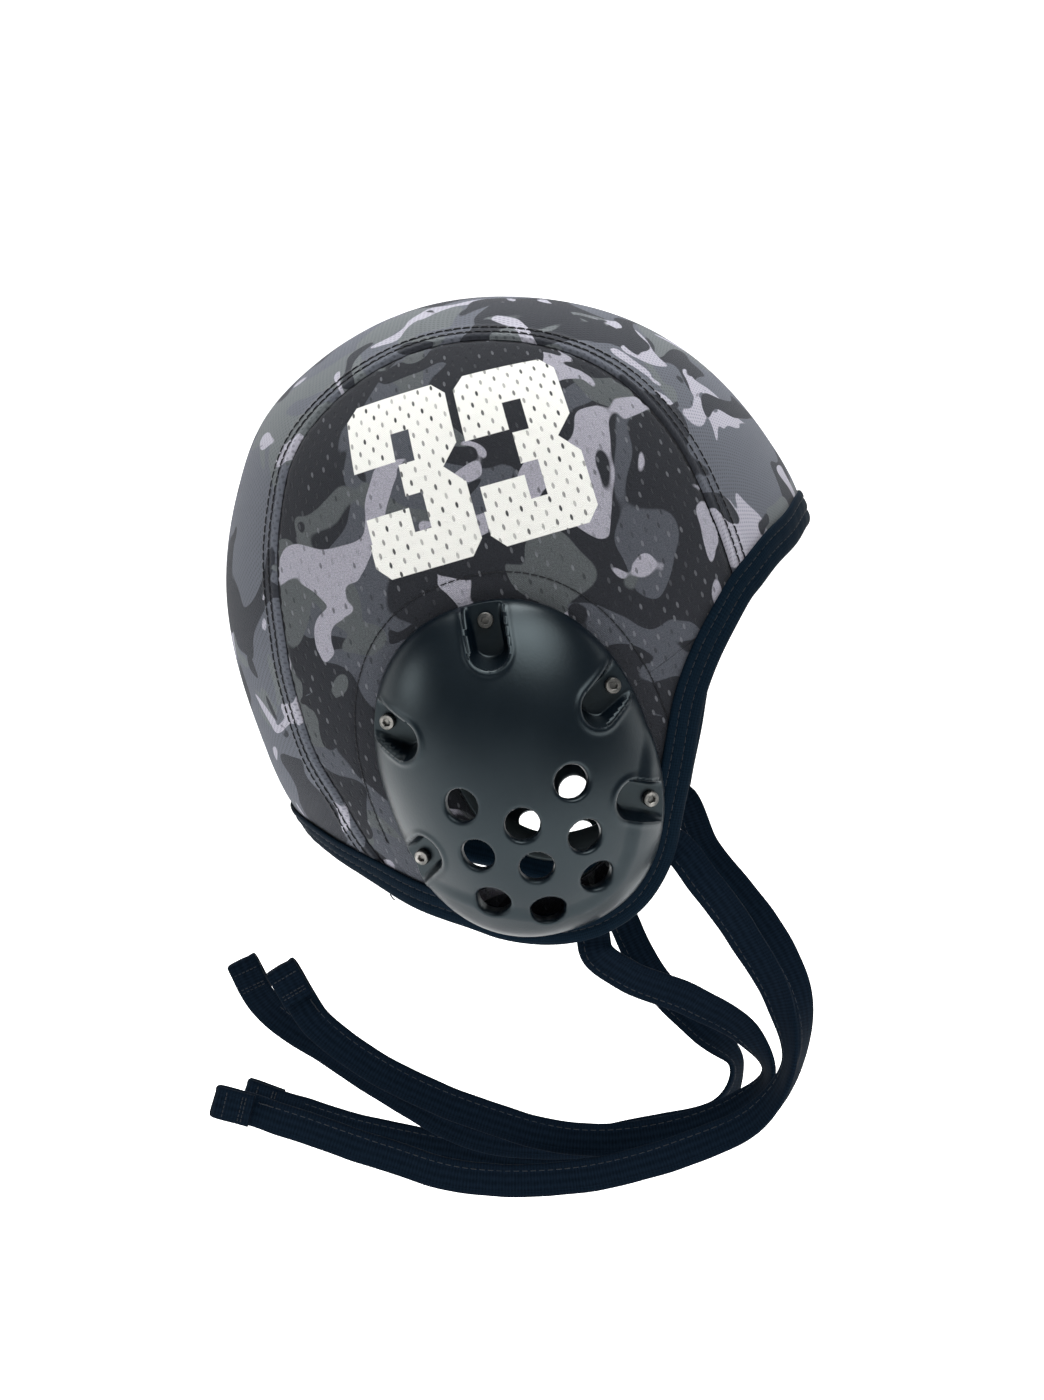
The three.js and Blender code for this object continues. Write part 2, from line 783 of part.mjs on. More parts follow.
function tieTapeGeometry({ hand, anchor, route }) {
  const sewnEnd = inFromEdge(anchor, tieSewn);
  const under = outward(sewnEnd);
  const depth = ringTop - tieThickness / 2;
  const start = raise(sewnEnd, depth);
  const leaving = raise(inFromEdge(anchor, -tieThickness), depth);
  const swung = route.map(({ ahead, side, down }) => new THREE.Vector3(
    start.x + ahead * tieSwing,
    side * start.y,
    start.z - down * tieHang,
  ));
  const curve = new THREE.CatmullRomCurve3([start, leaving, ...swung], false, 'centripetal');
  const turns = [0, 0, ...route.map((row) => row.turn)];
  const turnCurve = new THREE.SplineCurve(turns.map((turn, index) => new THREE.Vector2(index, turn)));
  const length = curve.getLength();
  const foldShare = 1 - tieFold / length;
  const sewnShare = start.distanceTo(leaving) / length;
  const box = new THREE.BoxGeometry(1, 1, 1, 1, 1, tieSteps);
  const tape = shaped(box, (from) => {
    const step = Math.round((from.z + 0.5) * tieSteps);
    const share = tieShare(step, sewnShare, foldShare, tieFoldStep / length);
    const centre = curve.getPointAt(share);
    const along = curve.getTangentAt(share);
    const loose = THREE.MathUtils.smoothstep(share * length, tieSewn, tieSewn + tieFacingTurn);
    const facing = under.clone().lerp(new THREE.Vector3(0, -1, 0), loose);
    facing.addScaledVector(along, -facing.dot(along)).normalize();
    const turn = turnCurve.getPoint(curve.getUtoTmapping(share)).y;
    facing.applyAxisAngle(along, THREE.MathUtils.degToRad(turn));
    const width = along.clone().cross(facing);
    const layers = share > foldShare ? 2 : 1;
    centre.addScaledVector(width, from.x * tieWidth);
    return centre.addScaledVector(facing, from.y * tieThickness * layers);
  });
  return hand < 0 ? tape : flipped(tape);
}

// The mirror image of a geometry in the centre plane, with its faces still turned out.
function flipped(geometry) {
  const mirror = geometry.clone().scale(1, -1, 1);
  return mirror.setIndex(Array.from(mirror.getIndex().array).reverse());
}

// Shares of the way along a tie: even steps from its sewn end to the fold, then a short one on
// which the tape doubles.
function tieShare(step, sewnShare, foldShare, foldStep) {
  if (step === 0 || step === tieSteps) {
    return step / tieSteps;
  }
  if (step === tieSteps - 1) {
    return foldShare + foldStep;
  }
  return THREE.MathUtils.lerp(sewnShare, foldShare, (step - 1) / (tieSteps - 3));
}

// The cap

function piece(name, geometry, look) {
  const mesh = new THREE.Mesh(geometry, look);
  mesh.name = name;
  return mesh;
}

function sidePieces(side, geometries) {
  const group = new THREE.Group();
  group.add(piece(`side_panel_${side}`, geometries.panel, clothPrint));
  group.add(piece(`ear_guard_${side}`, geometries.guard, guardPlastic));
  group.add(piece(`guard_ring_${side}`, geometries.ring, ringPlastic));
  geometries.screws.forEach((screw, index) => {
    group.add(piece(`guard_screw_${side}_${index + 1}`, screw, screwSteel));
  });
  group.scale.y = side === 'left' ? -1 : 1;
  return group;
}

const sideGeometries = {
  panel: toGeometry(drilled(toSolid(sidePanel()))),
  guard: earGuard(),
  ring: guardRing(),
  screws: screwAngles.map(guardScrew),
};

const cap = new THREE.Group();
cap.add(piece('centre_panel', centrePanel(), crownKnit));
cap.add(sidePieces('right', sideGeometries));
cap.add(sidePieces('left', sideGeometries));
cap.add(piece('edge_binding', edgeBinding(), navyTape));
for (const tie of ties) {
  cap.add(piece(tie.name, tieTapeGeometry(tie), tieTape));
}
cap.position.z = -(atAngle(90, 0).z - fabric);

const waterPoloCap = new THREE.Group();
waterPoloCap.add(cap);

export default waterPoloCap;
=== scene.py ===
"""Water polo cap: cloth panels, edge tape, ear guards, screws, tie tapes and a pale studio.

Shapes are worked out in millimetres about the middle of the head, then placed in metres in the
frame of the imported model, whose origin is the inside top of the crown.
"""

import math

import bmesh
import bpy
import numpy as np
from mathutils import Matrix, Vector


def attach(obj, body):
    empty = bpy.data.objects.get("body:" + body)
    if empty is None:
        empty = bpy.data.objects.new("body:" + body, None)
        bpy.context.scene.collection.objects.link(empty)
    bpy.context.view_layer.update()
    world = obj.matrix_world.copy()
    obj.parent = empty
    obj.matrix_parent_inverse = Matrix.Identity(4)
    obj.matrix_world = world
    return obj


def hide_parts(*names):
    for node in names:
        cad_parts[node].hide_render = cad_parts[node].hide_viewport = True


bl_info = {
    "name": "Water Polo Cap",
    "version": (1, 0, 0),
    "blender": (4, 5, 0),
    "location": "View3D > Sidebar > Cap",
    "description": "Cloth, edge tape, ear guards, screws and tie tapes of a water polo cap",
    "category": "Object",
}

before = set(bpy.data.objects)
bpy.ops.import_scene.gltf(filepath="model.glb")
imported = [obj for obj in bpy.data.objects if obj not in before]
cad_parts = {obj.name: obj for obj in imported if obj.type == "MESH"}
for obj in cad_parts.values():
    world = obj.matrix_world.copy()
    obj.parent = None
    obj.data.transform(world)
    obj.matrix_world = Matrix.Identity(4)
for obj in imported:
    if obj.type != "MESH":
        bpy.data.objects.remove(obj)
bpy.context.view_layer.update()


# Head form

HEAD_RADIUS = 96.0
HEAD_HALF_WIDTH = 78.0
HEAD_TAPER = 0.05
HEAD_SQUARENESS = 2.5
FABRIC = 1.5

# How far the head form reaches at each angle about its middle, as shares of its radius.
PROFILE = (
    (-90, 1.615), (-75, 1.646), (-60, 1.48), (-45, 1.27), (-30, 1.083), (-12, 1.02),
    (6, 1.005), (18, 1.003), (30, 0.985), (48, 0.974), (66, 0.971), (90, 0.973),
    (114, 0.994), (132, 1.013), (147, 1.025), (162, 1.002), (180, 0.994), (198, 0.998),
    (210, 1.019), (222, 1.069), (234, 1.125), (246, 1.224), (258, 1.427),
)

# The lower edge on the right, from the forehead to the nape: angle, and share of the half width.
EDGE = (
    (11.5, 0), (11.1, 0.165), (9, 0.32), (6, 0.485), (1.8, 0.587), (-2.5, 0.65),
    (-13.8, 0.722), (-24.5, 0.746), (-34.3, 0.758), (-42.6, 0.765), (-49.6, 0.76),
    (-55.7, 0.742), (-60.6, 0.731), (-65.3, 0.731), (-70.2, 0.742), (-75, 0.753),
    (-80.2, 0.763), (-85.2, 0.77), (-90.2, 0.772), (-95.4, 0.762), (-101.2, 0.722),
    (-107.6, 0.652), (-113.8, 0.558), (-120, 0.452), (-125.5, 0.325), (-128.6, 0.17),
    (-129.6, 0),
)
SEAM_FRONT = 5
SEAM_BACK = 21

# The seam between the centre panel and a side panel.
SEAM = (
    (6, 0.69), (20, 0.711), (32, 0.692), (45, 0.661), (67, 0.602), (91, 0.572), (114, 0.582),
    (139, 0.641), (162, 0.712), (187, 0.758), (202, 0.742), (218, 0.717), (232, 0.696),
    (242, 0.658),
)
SEAM_STEPS = 28
SEAM_CROWDING = 0.07
SEAM_GAP = 0.3


def cubic(at, places, values):
    """Smooth values between a table's rows."""
    at = np.clip(at, places[0], places[-1])
    right = np.clip(np.searchsorted(places, at, side="right"), 1, len(places) - 1)
    left = right - 1
    before = np.where(left > 0, left - 1, right)
    after = np.where(right < len(places) - 1, right + 1, left)
    half = (places[right] - places[left]) / 2
    pull_before = half / (places[left] - places[before])
    pull_after = half / (places[after] - places[right])
    share = (at - places[left]) / (places[right] - places[left])
    square = share**2
    cube = share**3
    from_before = -pull_before * cube + 2 * pull_before * square - pull_before * share
    from_left = (1 + pull_before) * cube + (-1.5 - 2 * pull_before) * square
    from_left = from_left + (pull_before - 0.5) * share + 1
    from_right = (-1 - pull_after) * cube + (1.5 + pull_after) * square + 0.5 * share
    from_after = pull_after * cube - pull_after * square
    return (
        from_before * values[before]
        + from_left * values[left]
        + from_right * values[right]
        + from_after * values[after]
    )


PROFILE_ANGLES = np.array([a + turn for turn in (-360, 0, 360) for a, _ in PROFILE], float)
PROFILE_REACHES = np.array([r * HEAD_RADIUS for _ in range(3) for _, r in PROFILE])


def unit(vectors):
    return vectors / np.linalg.norm(vectors, axis=-1, keepdims=True)


def smooth(value, low, high):
    share = np.clip((value - low) / (high - low), 0, 1)
    return share * share * (3 - 2 * share)


def reach_at(x, z):
    return cubic(np.degrees(np.arctan2(z, x)), PROFILE_ANGLES, PROFILE_REACHES)


def half_width_at(x):
    return HEAD_HALF_WIDTH * (1 - HEAD_TAPER * x / HEAD_RADIUS)


def level(points):
    """Below nought inside the head form, nought on it and above nought outside."""
    x, y, z = np.moveaxis(points, -1, 0)
    across = np.abs(y) / half_width_at(x)
    along = np.hypot(x, z) / reach_at(x, z)
    return across**2 + along**HEAD_SQUARENESS - 1


def slope(points):
    step = 0.01
    out = np.empty_like(points)
    for axis in range(3):
        shift = np.zeros(3)
        shift[axis] = step
        out[..., axis] = (level(points + shift) - level(points - shift)) / (2 * step)
    return out


def outward(points):
    return unit(slope(points))


def settle(points):
    """Moves points onto the head form."""
    for _ in range(4):
        steepness = slope(points)
        square = np.sum(steepness**2, axis=-1)
        points = points - steepness * (level(points) / square)[..., None]
    return points


def at_angle(angle, y):
    """Points of the head form at angles about its middle and distances from its centre plane."""
    turn = np.radians(angle)
    x = np.cos(turn) * HEAD_RADIUS
    reach = np.ones_like(x)
    for _ in range(6):
        across = y / half_width_at(x)
        share = (1 - across**2) ** (1 / HEAD_SQUARENESS)
        reach = share * reach_at(np.cos(turn), np.sin(turn))
        x = np.cos(turn) * reach
    return np.stack([x, y + 0 * x, np.sin(turn) * reach], axis=-1)


def at_side(x, z):
    """Points on the right side of the head form, under places in the side view."""
    along = np.minimum(np.hypot(x, z) / reach_at(x, z), 1)
    y = -half_width_at(x) * np.sqrt(1 - along**HEAD_SQUARENESS)
    return np.stack([x, y, z], axis=-1)


def side_map(points):
    """Places on a side panel's cloth laid flat, in millimetres about the side of the head."""
    x, _, z = np.moveaxis(points, -1, 0)
    length = np.zeros_like(x)
    steps = 40
    before = at_side(x * 0, z * 0)
    for step in range(1, steps + 1):
        here = at_side(x * step / steps, z * step / steps)
        length = length + np.linalg.norm(here - before, axis=-1)
        before = here
    stretch = length / np.maximum(np.hypot(x, z), 1e-6)
    return np.stack([x * stretch, z * stretch], axis=-1)


CROWN = at_angle(np.array([90.0]), np.array([0.0]))[0, 2] - FABRIC


def metres(points):
    return (points - np.array([0, 0, CROWN])) / 1000


# Lower edge and seam

_angles, _sides = np.array(EDGE, float).T
RIGHT_EDGE = at_angle(_angles, -_sides * HEAD_HALF_WIDTH)
_left_edge = RIGHT_EDGE[1:-1][::-1] * np.array([1, -1, 1])
EDGE_LOOP = np.concatenate([RIGHT_EDGE, _left_edge])
EDGE_STATIONS = len(EDGE_LOOP)
CLOTH_INSET = 1.4
TAPE_WIDTH = 11.5


def through(points, at):
    """Places on a smooth closed line through points, at a count of points along it."""
    start = np.floor(at).astype(int)
    share = (at - start)[..., None]
    a, b, c, d = (points[(start + step) % len(points)] for step in (-1, 0, 1, 2))
    first = 2 * b + (c - a) * share
    second = (2 * a - 5 * b + 4 * c - d) * share**2
    return (first + second + (3 * b - a - 3 * c + d) * share**3) / 2


def edge_at(at):
    return settle(through(EDGE_LOOP, at))


def in_from_edge(at, distance):
    """Places on the head form a distance in from the lower edge."""
    here = edge_at(at)
    along = edge_at(at + 1) - edge_at(at - 1)
    inward = unit(np.cross(along, outward(here)))
    return settle(here + inward * np.asarray(distance)[..., None])


def angle_of(points):
    return np.degrees(np.arctan2(points[..., 2], points[..., 0]))


_ends = in_from_edge(np.array([SEAM_FRONT, SEAM_BACK], float), CLOTH_INSET)
SEAM_ANGLES = np.array([angle_of(_ends[0]), *[a for a, _ in SEAM], angle_of(_ends[1]) + 360])
SEAM_SIDES = np.array(
    [abs(_ends[0, 1]), *[s * HEAD_HALF_WIDTH for _, s in SEAM], abs(_ends[1, 1])]
)


def seam_share(at):
    return at - SEAM_CROWDING * np.sin(2 * math.pi * at)


def seam_angle(share):
    return SEAM_ANGLES[0] + (SEAM_ANGLES[-1] - SEAM_ANGLES[0]) * share


def seam_side(share):
    return cubic(seam_angle(share), SEAM_ANGLES, SEAM_SIDES)


def seam_line(share, distance):
    """Places on the head form beside the right seam: a distance towards the crown's middle."""
    here = at_angle(seam_angle(share), -seam_side(share))
    step = 0.004
    ahead = at_angle(seam_angle(share + step), -seam_side(share + step))
    inward = unit(np.cross(outward(here), ahead - here))
    inward = inward * np.sign(inward[..., 1:2])
    return settle(here + inward * np.asarray(distance)[..., None])


# Ear guards

GUARD_FORWARD = 0.0615 * HEAD_RADIUS
GUARD_DOWN = 0.546 * HEAD_RADIUS
GUARD_LONG = 0.552 * HEAD_RADIUS
GUARD_SHORT = 0.4375 * HEAD_RADIUS
GUARD_TILT = math.radians(107.7)
GUARD_SQUARENESS = 2.25
GUARD_DEPTH = 22.0
GUARD_EDGE = 2.5
GUARD_WALL = 2.6
GUARD_LEAN = 0.15
GUARD_ROUNDNESS = 2.3
GUARD_FULLNESS = 0.62
RECESS_WIDTH = 12.5
RECESS_LENGTH = 20.0
RECESS_FLOOR = 3.4
# A recess's wall: its draft, how much more its round end has, and how it curves up.
RECESS_DRAFT = 2.1
RECESS_END_DRAFT = 2.2
RECESS_CURVE = 1.8
# How far round a recess the dome is looked at, and how near its edge a corner moves onto it.
RECESS_MARGIN = 5.0
RECESS_SNAP = 0.5
LIP_HEIGHT = 0.45
LIP_OUT = 1.0
LIP_WIDTH = 0.9
SCREW_INSET = 5.6
SCREW_SHANK = 1.35
SCREW_HEAD = 2.5
SCREW_HEAD_HEIGHT = 1.7
SCREW_SOCKET = 1.25
FOOT_GAP = 0.45
FOOT_ON_TAPE = 2.25
SCREW_ANGLES = (101, 43, 348, 224, 158)
SOUND_HOLES = (
    (4, 0.43), (202, 0.4), (286, 0.23), (324, 0.55), (244, 0.51), (286, 0.51), (310, 0.76),
    (260, 0.75), (284, 0.8),
)
# How far along its rod to either side a sound hole cuts the dome.
HOLE_REACH = 9.0
EAR_OPENING = 0.77
RING_TOP = -3.75
# A ring in section: share of the way out from the guard's middle, and height over the ring's top.
RING_SECTION = (
    (0.79, -2.0), (0.79, -0.3), (0.8, 0), (0.95, 0), (0.96, -0.3), (0.96, -1.7), (0.95, -2.0),
)


def guard_place(angle, share):
    """Places in the side view at angles about the guard's middle and shares of the way out."""
    turn = angle - GUARD_TILT
    long = np.abs(np.cos(turn) / GUARD_LONG) ** GUARD_SQUARENESS
    short = np.abs(np.sin(turn) / GUARD_SHORT) ** GUARD_SQUARENESS
    reach = share * (long + short) ** (-1 / GUARD_SQUARENESS)
    return GUARD_FORWARD + reach * np.cos(angle), -GUARD_DOWN + reach * np.sin(angle)


def foot_height(x, z):
    """How high over the cloth a guard's foot stands: it rides up onto the edge tape."""
    place = np.stack([x, z], axis=-1)
    flat = RIGHT_EDGE[:, [0, 2]]
    nearest = np.full(x.shape, 1e9)
    for start, end in zip(flat[:-1], flat[1:]):
        along = end - start
        share = np.clip((place - start) @ along / (along @ along), 0, 1)
        foot = start + share[..., None] * along
        nearest = np.minimum(nearest, np.linalg.norm(place - foot, axis=-1))
    clear = smooth(nearest, TAPE_WIDTH + 0.5, TAPE_WIDTH + 5)
    return FOOT_GAP + (1 - clear) * (FOOT_ON_TAPE - FOOT_GAP)


def guard_base(angle, share):
    x, z = guard_place(angle, share)
    foot = at_side(x, z)
    return foot + outward(foot) * foot_height(x, z)[..., None]


def dome(angle, share, inside=False):
    """Places on the outside or the inside of a guard's dome."""
    if inside:
        base = guard_base(angle, share * (1 - GUARD_WALL / GUARD_SHORT))
        edge, depth = 0, GUARD_DEPTH - GUARD_WALL
    else:
        base = guard_base(angle, share)
        edge, depth = GUARD_EDGE, GUARD_DEPTH - GUARD_EDGE
    rise = depth * np.maximum(1 - share**GUARD_ROUNDNESS, 0) ** GUARD_FULLNESS
    return base + np.stack([0 * rise, -edge - rise, -GUARD_LEAN * rise], axis=-1)


def screw_frame(degrees):
    """The place of a screw on the guard's foot, and its axes: out to the edge, across, up."""
    angle = np.radians(float(degrees))
    rim = guard_base(angle, 1.0)
    centre = guard_base(angle, 0.0)
    reach = math.hypot(rim[0] - centre[0], rim[2] - centre[2])
    place = guard_base(angle, 1 - SCREW_INSET / reach)
    up = outward(place)
    along = rim - place
    along = unit(along - up * (along @ up))
    return place, np.stack([along, np.cross(up, along), up])


def hole_frame(degrees, out):
    """The place of a sound hole on the dome, and the axes of its rod, the last one outwards."""
    turn = np.radians(float(degrees))
    step = 0.02
    place = dome(turn, out)
    along = unit(dome(turn, out + step) - dome(turn, out - step))
    up = unit(np.cross(dome(turn + step, out) - dome(turn - step, out), along))
    up = up * (-1 if up[1] > 0 else 1)
    return place, np.stack([along, np.cross(up, along), up])


# Tie routes

TIE_WIDTH = 10.8
TIE_THICKNESS = 2.2
TIE_FOLD = 13.0
TIE_SEWN = 4.6
# How far from a tie's middle its long rows of stitches lie, and how high over it.
TIE_ROW = 3.3
TIE_ROW_HEIGHT = 0.72
# How far past the start of the fold its rows of stitches lie, and how high over the middle.
FOLD_ROWS = (3.0, 4.1, 9.5)
FOLD_ROW_HEIGHT = 1.98

# The side of each tie, the station of the lower edge where it is sewn, and its route from there,
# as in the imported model: the way ahead in shares of 100 mm, the side as a share of the sewn end's
# distance from the centre plane, the way down in shares of 100 mm, and the degrees by which the
# tape shows its edge.
TIES = {
    "tie_right_lower": (-1, 15, (
        (0.03, 0.95, 0.12, 0), (0.13, 0.87, 0.2, 0), (0.33, 0.68, 0.3, 5), (0.5, 0.52, 0.42, 30),
        (0.57, 0.45, 0.56, 72), (0.47, 0.43, 0.67, 45), (0.25, 0.42, 0.76, 15),
        (-0.05, 0.42, 0.79, 5), (-0.35, 0.42, 0.72, 0), (-0.67, 0.4, 0.59, 0),
        (-0.91, 0.39, 0.42, 0), (-1.03, 0.37, 0.24, 0),
    )),
    "tie_right_front": (-1, 11, (
        (0.15, 0.92, 0.13, 0), (0.28, 0.82, 0.32, 10), (0.39, 0.78, 0.53, 35),
        (0.42, 0.77, 0.73, 70), (0.32, 0.74, 0.9, 45), (0.07, 0.69, 1.03, 15),
        (-0.26, 0.62, 1.13, 5), (-0.63, 0.6, 1.14, 0), (-0.9, 0.58, 1.07, 0),
        (-1.22, 0.55, 0.97, 0), (-1.45, 0.53, 0.91, 0),
    )),
    "tie_left_lower": (1, 15, (
        (0.05, 0.93, 0.17, 0), (0.18, 0.76, 0.39, 0), (0.34, 0.58, 0.53, 20),
        (0.46, 0.47, 0.64, 70), (0.41, 0.44, 0.78, 50), (0.14, 0.42, 0.87, 20),
        (-0.12, 0.4, 0.92, 10), (-0.42, 0.37, 0.89, 0), (-0.66, 0.35, 0.77, 0),
        (-0.92, 0.32, 0.6, 0), (-1.13, 0.3, 0.45, 0), (-1.22, 0.28, 0.29, 0),
    )),
    "tie_left_front": (1, 11, (
        (0.13, 0.91, 0.18, 0), (0.34, 0.74, 0.43, 10), (0.46, 0.62, 0.66, 45),
        (0.46, 0.6, 0.87, 72), (0.33, 0.58, 1.07, 45), (0.13, 0.56, 1.16, 20),
        (-0.11, 0.54, 1.22, 10), (-0.44, 0.53, 1.25, 0), (-0.72, 0.51, 1.2, 0),
        (-1.06, 0.48, 1.13, 0), (-1.44, 0.46, 1.01, 0),
    )),
}


# Mesh tools

# Paired pieces are made on the right and mirrored to the left.
HANDS = ((-1, "right"), (1, "left"))


def mirror_left(bm):
    bmesh.ops.scale(bm, vec=(1, -1, 1), verts=bm.verts)
    bmesh.ops.reverse_faces(bm, faces=bm.faces)


def link_mesh(name, bm, material):
    """Makes a smooth-shaded object of a bmesh."""
    for face in bm.faces:
        face.smooth = True
    mesh = bpy.data.meshes.new(name)
    bm.to_mesh(mesh)
    bm.free()
    mesh.materials.append(material)
    obj = bpy.data.objects.new(name, mesh)
    bpy.context.scene.collection.objects.link(obj)
    return obj


def finish_piece(name, bm, hand, material, nodes=()):
    """Makes a piece that rides on the cap, from its shape on the right or in the middle."""
    if hand > 0:
        mirror_left(bm)
    obj = link_mesh(name, bm, material)
    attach(obj, "root")
    if nodes:
        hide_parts(*nodes)
    return obj


def close_ends(bm):
    """Fills the open ends of a tube and turns its faces outwards."""
    bmesh.ops.holes_fill(bm, edges=[e for e in bm.edges if e.is_boundary], sides=0)
    bmesh.ops.recalc_face_normals(bm, faces=bm.faces)


def patch(bm, across, along, place, flat=None, closed=False):
    """Adds a grid whose corners go where place says, from shares across and along."""
    made = bmesh.ops.create_grid(bm, x_segments=across, y_segments=along, size=0.5)["verts"]
    at = np.array([v.co for v in made])
    u = np.round((at[:, 0] + 0.5) * across) / across
    v = np.round((at[:, 1] + 0.5) * along) / along
    points = place(u, v)
    if flat is not None:
        layer = bm.loops.layers.uv.new("UVMap")
        spread = flat(u, v, points) / 100
        for index, vert in enumerate(made):
            for loop in vert.link_loops:
                loop[layer].uv = spread[index]
    for vert, point in zip(made, metres(points)):
        vert.co = point
    if closed:
        border = [v for v in made if v.is_boundary]
        bmesh.ops.remove_doubles(bm, verts=border, dist=1e-6)
    return [v for v in made if v.is_valid]


def turn_out(bm):
    """Turns the faces of an open sheet away from the middle of the head."""
    bm.normal_update()
    total = 0.0
    for face in bm.faces:
        centre = face.calc_center_median()
        total += face.normal.dot(centre + Vector((0, 0, CROWN / 1000))) * face.calc_area()
    if total < 0:
        bmesh.ops.reverse_faces(bm, faces=bm.faces)


# Pitch, length and thickness of each kind of stitch.
SEAM_STITCH = (2.9, 2.3, 0.6)
ARC_STITCH = (2.6, 2.2, 0.42)
TAPE_STITCH = (2.7, 2.0, 0.38)
TIE_STITCH = (2.8, 2.1, 0.36)
FOLD_STITCH = (1.5, 1.2, 0.42)
# How far a thread dips between its stitches, its height by its width, and its mesh steps.
STITCH_DIP = 0.55
THREAD_FLATNESS = 0.4
THREAD_SIDES = 5
STEPS_A_STITCH = 5


def add_stitches(bm, line, normals, pitch, length, width):
    """Adds a sewn thread along a line on the cloth: it dips under between its stitches."""
    steps = np.linalg.norm(np.diff(line, axis=0), axis=1)
    distances = np.concatenate([[0], np.cumsum(steps)])
    count = max(1, round(distances[-1] / pitch))

    def between(values, at):
        return np.stack([np.interp(at, distances, values[:, k]) for k in range(3)], axis=-1)

    def place(u, v):
        at = np.clip(v * distances[-1], 0.1, distances[-1] - 0.1)
        up = unit(between(normals, at))
        ahead = between(line, at + 0.1) - between(line, at - 0.1)
        side = unit(np.cross(up, ahead))
        turn = 2 * math.pi * u
        from_middle = np.abs((v * count) % 1 - 0.5)
        dip = STITCH_DIP * smooth(from_middle, length / pitch / 2, 0.5)
        over = np.cos(turn) * width / 2
        lift = np.sin(turn) * width * THREAD_FLATNESS - dip
        return between(line, at) + side * over[:, None] + up * lift[:, None]

    made = patch(bm, THREAD_SIDES, STEPS_A_STITCH * count, place, closed=True)
    ends = {edge for vert in made for edge in vert.link_edges if edge.is_boundary}
    bmesh.ops.holes_fill(bm, edges=list(ends), sides=0)
    faces = {face for vert in made for face in vert.link_faces}
    bmesh.ops.recalc_face_normals(bm, faces=list(faces))


def ripple(along, seed=0.0):
    """An uneven ripple between -1 and 1, from a distance in millimetres."""
    first = np.sin(along * 1.13 + seed)
    second = np.sin(along * 0.47 + 1.7 + 2.1 * seed)
    third = np.sin(along * 2.31 + 0.6 * seed)
    return (first + 0.8 * second + 0.4 * third) / 2.2


# Shader tools


def srgb(red, green, blue):
    def linear(value):
        value = value / 255
        return value / 12.92 if value <= 0.04045 else ((value + 0.055) / 1.055) ** 2.4

    return (linear(red), linear(green), linear(blue))


def colour(value):
    return (value[0], value[1], value[2], 1)


class Tree:
    """Adds nodes to a node tree and joins their sockets."""

    def __init__(self, tree):
        self.tree = tree

    def add(self, kind, inputs=None, **settings):
        node = self.tree.nodes.new("ShaderNode" + kind)
        for key, value in settings.items():
            setattr(node, key, value)
        for key, value in (inputs or {}).items():
            self.feed(node.inputs[key], value)
        return node

    def feed(self, socket, value):
        if isinstance(value, bpy.types.NodeSocket):
            self.tree.links.new(value, socket)
        else:
            socket.default_value = value

    def math(self, operation, a, b=0.0, c=0.0):
        node = self.add("Math", operation=operation)
        for socket, value in zip(node.inputs, (a, b, c)):
            self.feed(socket, value)
        return node.outputs[0]

    def vector(self, operation, a, b=(0, 0, 0)):
        node = self.add("VectorMath", operation=operation)
        self.feed(node.inputs[0], a)
        self.feed(node.inputs[1], b)
        return node.outputs[0]

    def steps(self, value, low, high, to_low=0.0, to_high=1.0):
        node = self.add("MapRange", interpolation_type="SMOOTHSTEP")
        for key, item in (
            ("Value", value),
            ("From Min", low),
            ("From Max", high),
            ("To Min", to_low),
            ("To Max", to_high),
        ):
            self.feed(node.inputs[key], item)
        return node.outputs["Result"]

    def waves(self, place, turn):
        return self.math("SINE", self.math("MULTIPLY", place, turn))

    def mix(self, factor, a, b):
        """Mixes two colours, whose sockets come after those of the node's other kinds."""
        node = self.add("Mix", data_type="RGBA")
        self.feed(node.inputs[0], factor)
        self.feed(node.inputs[6], a)
        self.feed(node.inputs[7], b)
        return node.outputs[2]

    def group(self, tree, inputs):
        node = self.add("Group", node_tree=tree)
        for key, value in inputs.items():
            self.feed(node.inputs[key], value)
        return node.outputs


def new_group(name, inputs, outputs):
    """A shader node group with named sockets, and its input and output nodes."""
    tree = bpy.data.node_groups.new(name, "ShaderNodeTree")
    for label, kind, value in inputs:
        socket = tree.interface.new_socket(label, in_out="INPUT", socket_type=kind)
        if value is not None:
            socket.default_value = value
    for label, kind in outputs:
        tree.interface.new_socket(label, in_out="OUTPUT", socket_type=kind)
    return Tree(tree), tree.nodes.new("NodeGroupInput"), tree.nodes.new("NodeGroupOutput")


BLOB_SCALE = 26.0
BLOB_BEND = 0.03
BLOB_EDGE = 0.005


